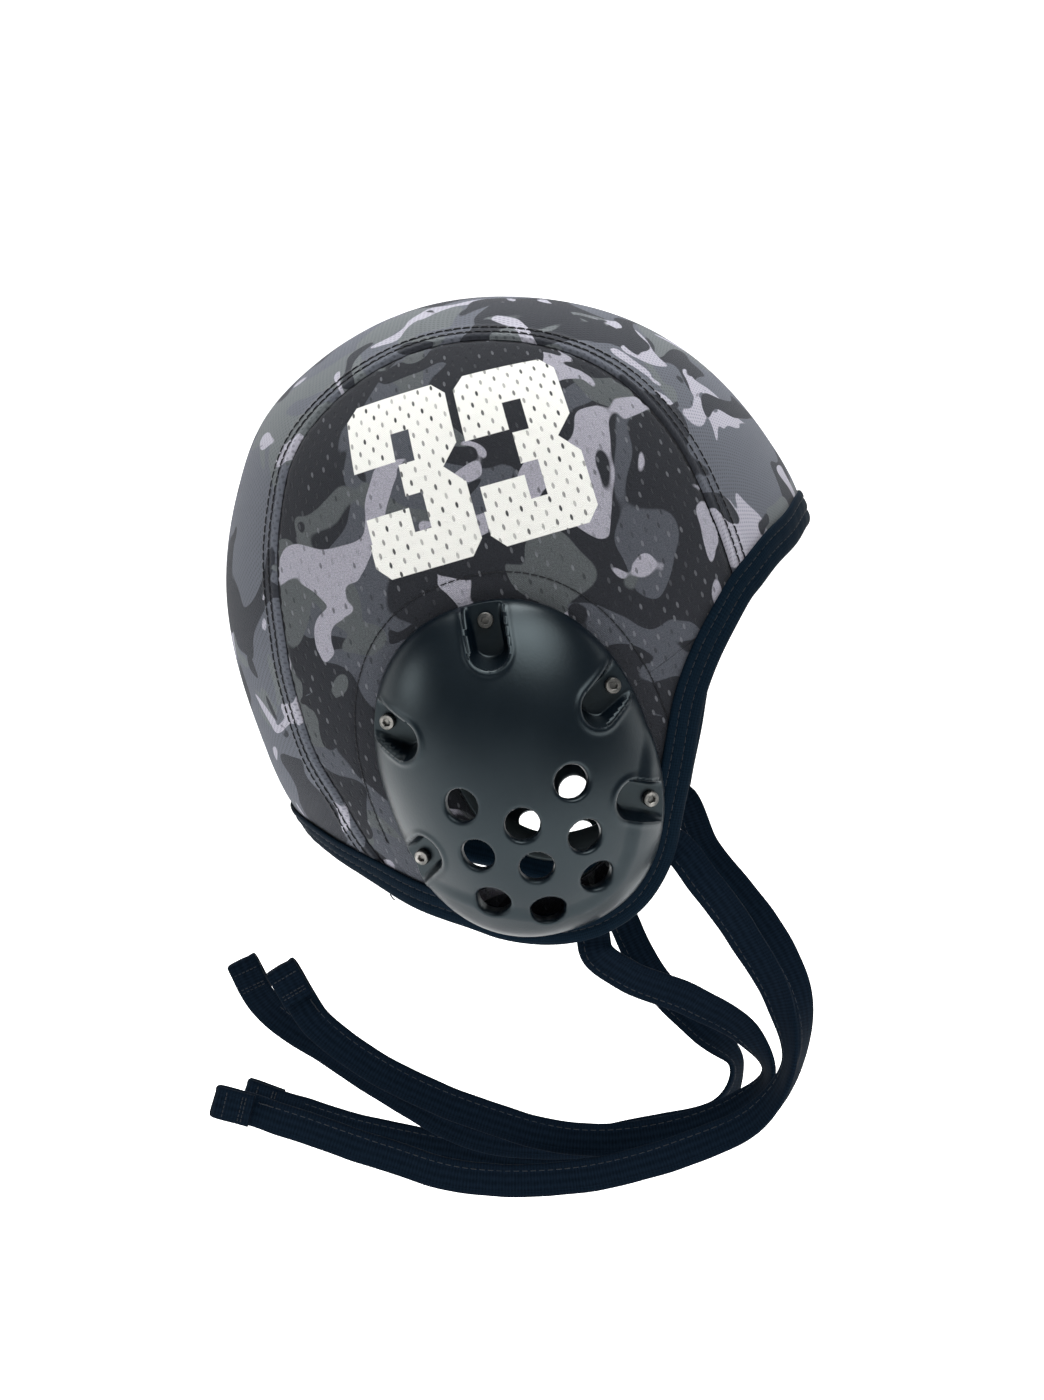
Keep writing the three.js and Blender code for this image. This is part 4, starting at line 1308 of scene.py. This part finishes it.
def flatten_recesses(points, grow, floor, lip):
    """Sinks the screw recesses into a dome: flat floors with steep walls and a raised lip."""
    for degrees in SCREW_ANGLES:
        place, axes = screw_frame(degrees)
        local = (points - place) @ axes.T
        x, y, height = local.T
        inner = RECESS_LENGTH - SCREW_INSET - RECESS_WIDTH / 2
        half = RECESS_WIDTH / 2 + grow
        round_end = x < -inner
        from_axis = np.where(round_end, np.hypot(x + inner, y), np.abs(y))
        off = from_axis - half
        reach = half + RECESS_MARGIN
        near = (x > -inner - reach) & (np.abs(y) < reach) & (height > floor)
        shift = np.where(near & (np.abs(off) < RECESS_SNAP), -off, 0.0)
        safe = np.maximum(from_axis, 1e-6)
        step_x = np.where(round_end, (x + inner) / safe, 0.0)
        step_y = np.where(round_end, y / safe, np.sign(y))
        x = x + shift * step_x
        y = y + shift * step_y
        off = off + shift
        draft = RECESS_DRAFT + RECESS_END_DRAFT * smooth(-inner - x, 0, half)
        up_wall = np.clip(1 + off / draft, 0, 1) ** RECESS_CURVE
        height = np.where(near & (off < 0), floor + (height - floor) * up_wall, height)
        ridge = lip * np.exp(-(((off - LIP_OUT) / LIP_WIDTH) ** 2)) * near * (off > -0.01)
        height = height + ridge * smooth(height, floor, floor + 2)
        points = place + np.stack([x, y, height], axis=-1) @ axes
    return points


def add_dome(bm, around, rows, inside, settings):
    """Adds the outer or inner skin of a guard with its recesses and sound holes cut."""
    holes = [hole_frame(*hole) for hole in SOUND_HOLES]
    grow, floor, lip = (GUARD_WALL, 0.4, 0.0) if inside else (0.0, RECESS_FLOOR, LIP_HEIGHT)

    def in_rod(points, middle, axes):
        local = (points - middle) @ axes.T
        return local, np.hypot(local[:, 0], local[:, 1]), np.abs(local[:, 2]) < HOLE_REACH

    def place(u, v):
        points = dome(2 * math.pi * u, np.sin(math.pi / 2 * v), inside)
        points = flatten_recesses(points, grow, floor, lip)
        for middle, axes in holes:
            local, away, near = in_rod(points, middle, axes)
            within = near & (away < settings.hole_radius)
            scale = settings.hole_radius / np.maximum(away, 1e-6)
            local[within, :2] *= scale[within, None]
            if not inside:
                off = np.maximum(away - settings.hole_radius, 0)
                round_off = settings.hole_lip
                inward = np.clip(round_off - off, 0, round_off)
                drop = round_off - np.sqrt(round_off**2 - inward**2)
                local[:, 2] -= np.where(near & (off < round_off), drop, 0)
            points = middle + local @ axes
        return points

    made = patch(bm, around, rows, place, closed=True)
    at = np.array([v.co for v in made]) * 1000 + np.array([0, 0, CROWN])
    doomed = set()
    for middle, axes in holes:
        _, away, near = in_rod(at, middle, axes)
        within = near & (away < settings.hole_radius + 0.01)
        held = {made[index] for index in np.flatnonzero(within)}
        faces = {face for vert in held for face in vert.link_faces}
        doomed |= {face for face in faces if all(vert in held for vert in face.verts)}
    bmesh.ops.delete(bm, geom=list(doomed), context="FACES")


def open_loops(bm):
    """The boundary edges in connected loops."""
    left = {edge for edge in bm.edges if edge.is_boundary}
    loops = []
    while left:
        loop = [left.pop()]
        ends = list(loop[0].verts)
        while ends:
            vert = ends.pop()
            for edge in vert.link_edges:
                if edge in left:
                    left.remove(edge)
                    loop.append(edge)
                    ends.append(edge.other_vert(vert))
        loops.append(loop)
    return loops


def loop_middle(loop):
    points = [vert.co for edge in loop for vert in edge.verts]
    return sum(points, Vector()) / len(points)


class CAP_OT_ear_guards(bpy.types.Operator):
    """Makes the two moulded guards with their sound holes and screw recesses"""

    bl_idname = "cap.ear_guards"
    bl_label = "Ear Guards"

    def execute(self, context):
        settings = context.scene.cap_guard
        material = moulded_plastic("guard_plastic", settings.plastic, settings.roughness)
        for hand, side in HANDS:
            bm = bmesh.new()
            add_dome(bm, settings.steps_around, settings.rows, False, settings)
            self.foot(bm)
            outer = open_loops(bm)
            outer_edges = set(bm.edges)
            add_dome(bm, settings.steps_around // 3, settings.rows // 3, True, settings)
            inner = [loop for loop in open_loops(bm) if loop[0] not in outer_edges]
            for loop in inner:
                middle = loop_middle(loop)
                match = min(outer, key=lambda other: (loop_middle(other) - middle).length)
                bmesh.ops.bridge_loops(bm, edges=[*loop, *match])
            bmesh.ops.recalc_face_normals(bm, faces=bm.faces)
            name = "ear_guard_" + side
            finish_piece(name + "_dome", bm, hand, material, [name])
        return {"FINISHED"}

    def foot(self, bm):
        """Carries the dome's rim down to the cloth and a little way in."""
        rim = max(open_loops(bm), key=len)
        for share, height in ((1.004, 1.9), (1.002, 0.5), (0.992, 0.0)):
            made = bmesh.ops.extrude_edge_only(bm, edges=rim)["geom"]
            verts = [v for v in made if isinstance(v, bmesh.types.BMVert)]
            rim = [e for e in made if isinstance(e, bmesh.types.BMEdge)]
            at = np.array([v.co for v in verts]) * 1000
            angle = np.arctan2(at[:, 2] + CROWN + GUARD_DOWN, at[:, 0] - GUARD_FORWARD)
            base = guard_base(angle, share)
            for vert, point in zip(verts, metres(base + np.array([0, -height, 0]))):
                vert.co = point


class CAP_OT_guard_rings(bpy.types.Operator):
    """Makes the rings inside the cap that the guards are screwed to"""

    bl_idname = "cap.guard_rings"
    bl_label = "Guard Rings"

    def execute(self, context):
        settings = context.scene.cap_guard
        material = moulded_plastic("ring_plastic", settings.ring, 0.5)
        section = np.array(RING_SECTION)

        def place(u, v):
            share, height = section[np.round(v * len(section)).astype(int) % len(section)].T
            base = at_side(*guard_place(2 * math.pi * u, share))
            return base + outward(base) * (RING_TOP + height)[..., None]

        for hand, side in HANDS:
            bm = bmesh.new()
            patch(bm, 160, len(section), place, closed=True)
            bmesh.ops.recalc_face_normals(bm, faces=bm.faces)
            name = "guard_ring_" + side
            finish_piece(name + "_band", bm, hand, material, [name])
        return {"FINISHED"}


class CAP_OT_guard_screws(bpy.types.Operator):
    """Makes the socket-head screws of both guards"""

    bl_idname = "cap.guard_screws"
    bl_label = "Guard Screws"

    def execute(self, context):
        material = blackened_steel()
        foot = RECESS_FLOOR + 0.3
        top = foot + SCREW_HEAD_HEIGHT
        for hand, side in HANDS:
            bm = bmesh.new()
            for degrees in SCREW_ANGLES:
                place, axes = screw_frame(degrees)
                self.screw(bm, place, axes, foot, top)
            nodes = [f"guard_screw_{side}_{index + 1}" for index in range(len(SCREW_ANGLES))]
            obj = finish_piece(f"guard_screws_{side}", bm, hand, material, nodes)
            for polygon in obj.data.polygons:
                polygon.use_smooth = False
        return {"FINISHED"}

    def screw(self, bm, place, axes, foot, top):
        """Lathes one screw from circles, with a six-sided socket."""
        # Radius, height and sides of each circle, from the foot of the shank into the socket.
        circles = (
            (SCREW_SHANK, RING_TOP - 2.0, 32), (SCREW_SHANK, foot, 32), (SCREW_HEAD, foot, 32),
            (SCREW_HEAD, top - 0.35, 32), (SCREW_HEAD - 0.25, top, 32),
            (SCREW_SOCKET + 0.2, top, 6), (SCREW_SOCKET, top - 0.15, 6),
            (SCREW_SOCKET, top - 1.1, 6),
        )
        before = None
        made = []
        for radius, height, segments in circles:
            ring = bmesh.ops.create_circle(bm, segments=segments, radius=radius)["verts"]
            for vert in ring:
                vert.co.z = height
            edges = list({e for v in ring for e in v.link_edges})
            if before:
                bmesh.ops.bridge_loops(bm, edges=[*before, *edges])
            before = edges
            made.extend(ring)
        ends = [e for e in {e for v in made for e in v.link_edges} if e.is_boundary]
        bmesh.ops.holes_fill(bm, edges=ends, sides=0)
        faces = list({f for v in made for f in v.link_faces})
        for vert in made:
            vert.co = metres(place + np.array(vert.co) @ axes)
        bmesh.ops.recalc_face_normals(bm, faces=faces)


class CapGuard(bpy.types.PropertyGroup):
    """Sizes and colours of the ear guards."""

    plastic: bpy.props.FloatVectorProperty(
        name="Guard", description="Guard plastic", subtype="COLOR", default=(0.0006, 0.0025, 0.005)
    )
    ring: bpy.props.FloatVectorProperty(
        name="Ring", description="Ring plastic", subtype="COLOR", default=(0.006, 0.008, 0.009)
    )
    roughness: bpy.props.FloatProperty(
        name="Roughness", description="Roughness of the guard", default=0.35
    )
    hole_radius: bpy.props.FloatProperty(
        name="Sound hole", description="Radius of a sound hole, mm", default=5.4
    )
    hole_lip: bpy.props.FloatProperty(
        name="Hole lip", description="Rounding of a sound hole's rim, mm", default=1.1
    )
    steps_around: bpy.props.IntProperty(
        name="Steps around", description="Mesh steps round the dome", default=540
    )
    rows: bpy.props.IntProperty(
        name="Rows", description="Mesh rows from rim to middle", default=124
    )


class CapTape(bpy.types.PropertyGroup):
    """Colours of the tapes."""

    binding: bpy.props.FloatVectorProperty(
        name="Binding", description="Edge tape", subtype="COLOR", default=srgb(1, 12, 22)
    )
    # Painted highlight: the lighter colour of the edge tape's raised ribs.
    rib_highlight: bpy.props.FloatVectorProperty(
        name="Rib", description="High threads of the edge tape", subtype="COLOR",
        default=srgb(9, 24, 36),
    )
    thread: bpy.props.FloatVectorProperty(
        name="Thread", description="Stitches of the edge tape", subtype="COLOR",
        default=srgb(15, 24, 34),
    )
    tie: bpy.props.FloatVectorProperty(
        name="Tie", description="Tie tape", subtype="COLOR", default=srgb(1, 9, 19)
    )
    # Painted highlight: the lighter colour of the ties' raised ribs.
    tie_rib_highlight: bpy.props.FloatVectorProperty(
        name="Tie rib", description="High threads of the ties", subtype="COLOR",
        default=srgb(10, 22, 34),
    )


# Ties


def hanging_line(points):
    """A smooth line through control points, and the point count along it of each place."""
    spaced = np.concatenate([[2 * points[0] - points[1]], points, [2 * points[-1] - points[-2]]])
    line, counts = [], []
    for index in range(1, len(spaced) - 2):
        a, b, c, d = spaced[index - 1 : index + 3]
        gap_a, gap_b, gap_c = (math.sqrt(np.linalg.norm(gap)) for gap in (b - a, c - b, d - c))
        out = (b - a) / gap_a - (c - a) / (gap_a + gap_b) + (c - b) / gap_b
        into = (c - b) / gap_b - (d - b) / (gap_b + gap_c) + (d - c) / gap_c
        for share in np.linspace(0, 1, 30, endpoint=False):
            square, cube = share**2, share**3
            line.append(
                (2 * cube - 3 * square + 1) * b
                + (cube - 2 * square + share) * out * gap_b
                + (-2 * cube + 3 * square) * c
                + (cube - square) * into * gap_b
            )
            counts.append(index - 1 + share)
    return np.array([*line, points[-1]]), np.array([*counts, len(points) - 1.0])


class TieRoute:
    """The middle line of a tie and its facing, and its folded end."""

    def __init__(self, anchor, route):
        at = np.array([float(anchor)])
        sewn = in_from_edge(at, np.array([TIE_SEWN]))[0]
        leaving = in_from_edge(at, np.array([-TIE_THICKNESS]))[0]
        depth = RING_TOP - TIE_THICKNESS / 2
        self.under = outward(sewn)
        start = sewn + self.under * depth
        leaving = leaving + outward(leaving) * depth
        swung = [
            (start[0] + ahead * 100, side * start[1], start[2] - down * 100)
            for ahead, side, down, _ in route
        ]
        line, counts = hanging_line(np.array([start, leaving, *swung]))
        turns = np.array([0, 0, *[row[3] for row in route]], float)
        steps = np.linalg.norm(np.diff(line, axis=0), axis=1)
        self.lengths = np.concatenate([[0], np.cumsum(steps)])
        self.length = self.lengths[-1]
        self.line = line
        self.turns = cubic(counts, np.arange(len(turns), dtype=float), turns)

    def frame(self, at):
        """Places, directions along, facings and width directions at lengths along the tie."""

        def along_line(values):
            return np.stack(
                [np.interp(at, self.lengths, values[:, k]) for k in range(values.shape[1])], axis=1
            )

        place = along_line(self.line)
        along = unit(along_line(np.gradient(self.line, self.lengths, axis=0)))
        turn = np.radians(along_line(self.turns[:, None]))
        loose = smooth(at, TIE_SEWN, TIE_SEWN + 40)[:, None]
        facing = self.under * (1 - loose) + np.array([0, -1, 0]) * loose
        facing = unit(facing - along * np.sum(facing * along, axis=1, keepdims=True))
        across = np.cross(along, facing)
        facing = facing * np.cos(turn) + across * np.sin(turn)
        return place, along, facing, np.cross(along, facing)


class CAP_OT_ties(bpy.types.Operator):
    """Makes the four tie tapes with their folded and sewn ends"""

    bl_idname = "cap.ties"
    bl_label = "Ties"

    def execute(self, context):
        tape = context.scene.cap_tape
        material = tape_cloth("tie_tape", tape.tie, tape.tie_rib_highlight)
        sewing = thread("tie_thread", tape.thread)
        for name, (hand, anchor, route) in TIES.items():
            path = TieRoute(anchor, route)
            bm = bmesh.new()
            self.tape(bm, path, len(name) + anchor)
            finish_piece(name + "_tape", bm, hand, material, [name])
            bm = bmesh.new()
            self.stitches(bm, path)
            finish_piece(name + "_stitching", bm, hand, sewing)
        return {"FINISHED"}

    def layers(self, path, v):
        """Length along the tie, offset and lean of the tape at shares of its whole length."""
        half = TIE_THICKNESS / 2
        end = path.length - half
        back = TIE_FOLD - 1.5
        arc = math.pi * half
        run = v * (end + arc + back)
        turning = np.clip((run - end) / half, 0, math.pi)
        returning = np.maximum(run - end - arc, 0)
        at = np.minimum(run, end) + half * np.sin(turning) - returning
        shift = smooth(run, path.length - TIE_FOLD - 9, path.length - TIE_FOLD)
        offset = np.where(turning > 0, -half * np.cos(turning), -half * shift)
        return at, offset, turning, run

    def tape(self, bm, path, seed):
        def place(u, v):
            at, offset, lean, run = self.layers(path, v)
            centre, along, facing, across = path.frame(at)
            phi = 2 * math.pi * u
            wide = np.sign(np.cos(phi)) * np.abs(np.cos(phi)) ** 0.32 * TIE_WIDTH / 2
            thick = np.sign(np.sin(phi)) * np.abs(np.sin(phi)) ** 0.55
            groove = 1 - 0.3 * np.exp(-(((wide - TIE_ROW) / 0.5) ** 2))
            puff = 0.88 + 0.08 * ripple(run * 0.35 + wide, seed)
            thick = thick * groove * puff * TIE_THICKNESS / 2
            wide = wide + 0.18 * ripple(run * 0.21, seed + 2.0)
            cos, sin = np.cos(lean)[:, None], np.sin(lean)[:, None]
            normal = facing * cos - along * sin
            middle = centre + facing * offset[:, None]
            return middle + across * wide[:, None] + normal * thick[:, None]

        def flat(u, v, points):
            phi = 2 * math.pi * u
            return np.stack([v * path.length, np.cos(phi) * TIE_WIDTH / 2], axis=-1)

        patch(bm, 36, 240, place, flat, closed=True)
        close_ends(bm)

    def stitches(self, bm, path):
        """Sews a row along the tie and three across its fold, on both faces."""
        centre, _, facing, across = path.frame(np.linspace(6, path.length - TIE_FOLD - 1, 500))
        for sign in (1, -1):
            line = centre + across * TIE_ROW + facing * (sign * TIE_ROW_HEIGHT)
            add_stitches(bm, line, facing * sign, *TIE_STITCH)
        over = np.linspace(-TIE_WIDTH / 2 + 1, TIE_WIDTH / 2 - 1, 20)
        for row in FOLD_ROWS:
            centre, _, facing, across = path.frame(path.length - TIE_FOLD + row + 0 * over)
            for sign in (1, -1):
                line = centre + across * over[:, None] + facing * (sign * FOLD_ROW_HEIGHT)
                add_stitches(bm, line, facing * sign, *FOLD_STITCH)


# Studio

# The sweep in metres: height of its floor, its reach, radius of its bend and rise of its back.
SWEEP_FLOOR = -0.33
SWEEP_REACH = 12.0
SWEEP_BEND = 0.9
SWEEP_RISE = 4.0
# Where along Y the sweep starts to light the cap from below and behind, and where it does so fully.
SWEEP_GLOW = (-0.6, -0.35)
# The angle of the grids on the softboxes, which keeps their light off the floor in front.
SOFTBOX_SPREAD = math.radians(70)
SOFTBOX_AIM = Vector((0, 0, -0.13))
# Name, place and size in metres, and watts of each softbox.
SOFTBOXES = (
    ("softbox_key", (0.35, -0.75, 1.1), 1.6, 6.0),
    ("softbox_above", (-0.1, 0.35, 1.25), 1.2, 5.0),
    ("softbox_side", (-1.4, -0.5, 0.2), 0.8, 0.8),
)


class CapStage(bpy.types.PropertyGroup):
    """The camera's place and the studio's colours."""

    azimuth: bpy.props.FloatProperty(
        name="Azimuth", description="Turn of the camera towards +X", default=math.radians(4.5),
        subtype="ANGLE",
    )
    elevation: bpy.props.FloatProperty(
        name="Elevation", description="Height of the camera", default=math.radians(6),
        subtype="ANGLE",
    )
    distance: bpy.props.FloatProperty(
        name="Distance", description="From the camera to its target", default=1.1, unit="LENGTH"
    )
    target: bpy.props.FloatVectorProperty(
        name="Target", description="Where the camera looks", default=(0.00165, 0, -0.1308),
        subtype="TRANSLATION",
    )
    lens: bpy.props.FloatProperty(
        name="Lens", description="Focal length, mm", default=85.7
    )
    floor: bpy.props.FloatVectorProperty(
        name="Floor", description="Floor and backdrop", subtype="COLOR", default=(0.86, 0.86, 0.86)
    )


class CAP_OT_stage(bpy.types.Operator):
    """Makes the pale sweep, the soft lights and the camera"""

    bl_idname = "cap.stage"
    bl_label = "Stage"

    def execute(self, context):
        settings = context.scene.cap_stage
        self.sweep(settings)
        for softbox in SOFTBOXES:
            self.light(*softbox)
        world = bpy.data.worlds.new("studio")
        context.scene.world = world
        world.use_nodes = True
        background = world.node_tree.nodes["Background"]
        background.inputs["Color"].default_value = (1, 1, 1, 1)
        air = Tree(world.node_tree)
        seen = air.add("LightPath").outputs["Is Camera Ray"]
        air.feed(background.inputs["Strength"], air.steps(seen, 0.0, 1.0, 0.1, 1.0))
        context.scene.view_settings.view_transform = "Standard"
        self.camera(context, settings)
        return {"FINISHED"}

    def sweep(self, settings):
        """A floor that curves up into a backdrop."""
        bm = bmesh.new()
        bmesh.ops.create_grid(bm, x_segments=2, y_segments=80, size=1)
        for vert in bm.verts:
            share = vert.co.y
            over = SWEEP_RISE * max(0.0, share)
            bend = min(over / SWEEP_BEND, math.pi / 2)
            rise = SWEEP_BEND * (1 - math.cos(bend)) + max(0.0, over - SWEEP_BEND * math.pi / 2)
            vert.co.x *= SWEEP_REACH
            vert.co.y = 0.8 + SWEEP_REACH * min(0.0, share) + SWEEP_BEND * math.sin(bend)
            vert.co.z = SWEEP_FLOOR + rise
        material, build, shader = new_material("pale_sweep", 0.9, Emission_Strength=1.0)
        place = build.add("SeparateXYZ", {"Vector": object_place(build)})
        seen = build.add("LightPath").outputs["Is Camera Ray"]
        glow = build.math("MAXIMUM", build.steps(place.outputs["Y"], *SWEEP_GLOW), seen)
        glowing = build.mix(glow, (0.04, 0.04, 0.04, 1), (0.9, 0.9, 0.9, 1))
        build.feed(shader.inputs["Emission Color"], glowing)
        wear = wear_on(build, object_place(build), 2.0)["Value"]
        shade = colour(tuple(0.99 * value for value in settings.floor))
        build.feed(shader.inputs["Base Color"], build.mix(wear, shade, colour(settings.floor)))
        link_mesh("pale_sweep", bm, material)

    def light(self, name, place, size, power):
        lamp = bpy.data.lights.new(name, "AREA")
        lamp.shape = "DISK"
        lamp.size = size
        lamp.energy = power
        lamp.spread = SOFTBOX_SPREAD
        obj = bpy.data.objects.new(name, lamp)
        obj.location = place
        aim = SOFTBOX_AIM - obj.location
        obj.rotation_euler = aim.to_track_quat("-Z", "Y").to_euler()
        bpy.context.scene.collection.objects.link(obj)

    def camera(self, context, settings):
        lens = bpy.data.cameras.new("camera")
        lens.lens = settings.lens
        lens.sensor_width = 36
        obj = bpy.data.objects.new("camera", lens)
        turn, rise = settings.azimuth, settings.elevation
        out = math.cos(rise)
        back = Vector((math.sin(turn) * out, -math.cos(turn) * out, math.sin(rise)))
        obj.location = Vector(settings.target) + back * settings.distance
        obj.rotation_euler = (-back).to_track_quat("-Z", "Y").to_euler()
        context.scene.collection.objects.link(obj)
        context.scene.camera = obj


class CAP_PT_panel(bpy.types.Panel):
    """Lists the cap's pieces in the sidebar"""

    bl_idname = "CAP_PT_panel"
    bl_label = "Water Polo Cap"
    bl_space_type = "VIEW_3D"
    bl_region_type = "UI"
    bl_category = "Cap"

    def draw(self, context):
        for operator in OPERATORS:
            self.layout.operator(operator.bl_idname)
        for group in ("cap_cloth", "cap_tape", "cap_guard", "cap_stage"):
            settings = getattr(context.scene, group)
            box = self.layout.box()
            for key in settings.__annotations__:
                box.prop(settings, key)


OPERATORS = (
    CAP_OT_stage,
    CAP_OT_cloth_panels,
    CAP_OT_seams,
    CAP_OT_edge_binding,
    CAP_OT_ear_guards,
    CAP_OT_guard_rings,
    CAP_OT_guard_screws,
    CAP_OT_ties,
)
GROUPS = (CapCloth, CapTape, CapGuard, CapStage)


def register():
    for item in (*GROUPS, *OPERATORS, CAP_PT_panel):
        bpy.utils.register_class(item)
    bpy.types.Scene.cap_cloth = bpy.props.PointerProperty(type=CapCloth)
    bpy.types.Scene.cap_tape = bpy.props.PointerProperty(type=CapTape)
    bpy.types.Scene.cap_guard = bpy.props.PointerProperty(type=CapGuard)
    bpy.types.Scene.cap_stage = bpy.props.PointerProperty(type=CapStage)


def unregister():
    for name in ("cap_cloth", "cap_tape", "cap_guard", "cap_stage"):
        delattr(bpy.types.Scene, name)
    for item in reversed((*GROUPS, *OPERATORS, CAP_PT_panel)):
        bpy.utils.unregister_class(item)


def main():
    register()
    for operator in OPERATORS:
        group, name = operator.bl_idname.split(".")
        getattr(getattr(bpy.ops, group), name)()


if __name__ == "__main__":
    main()
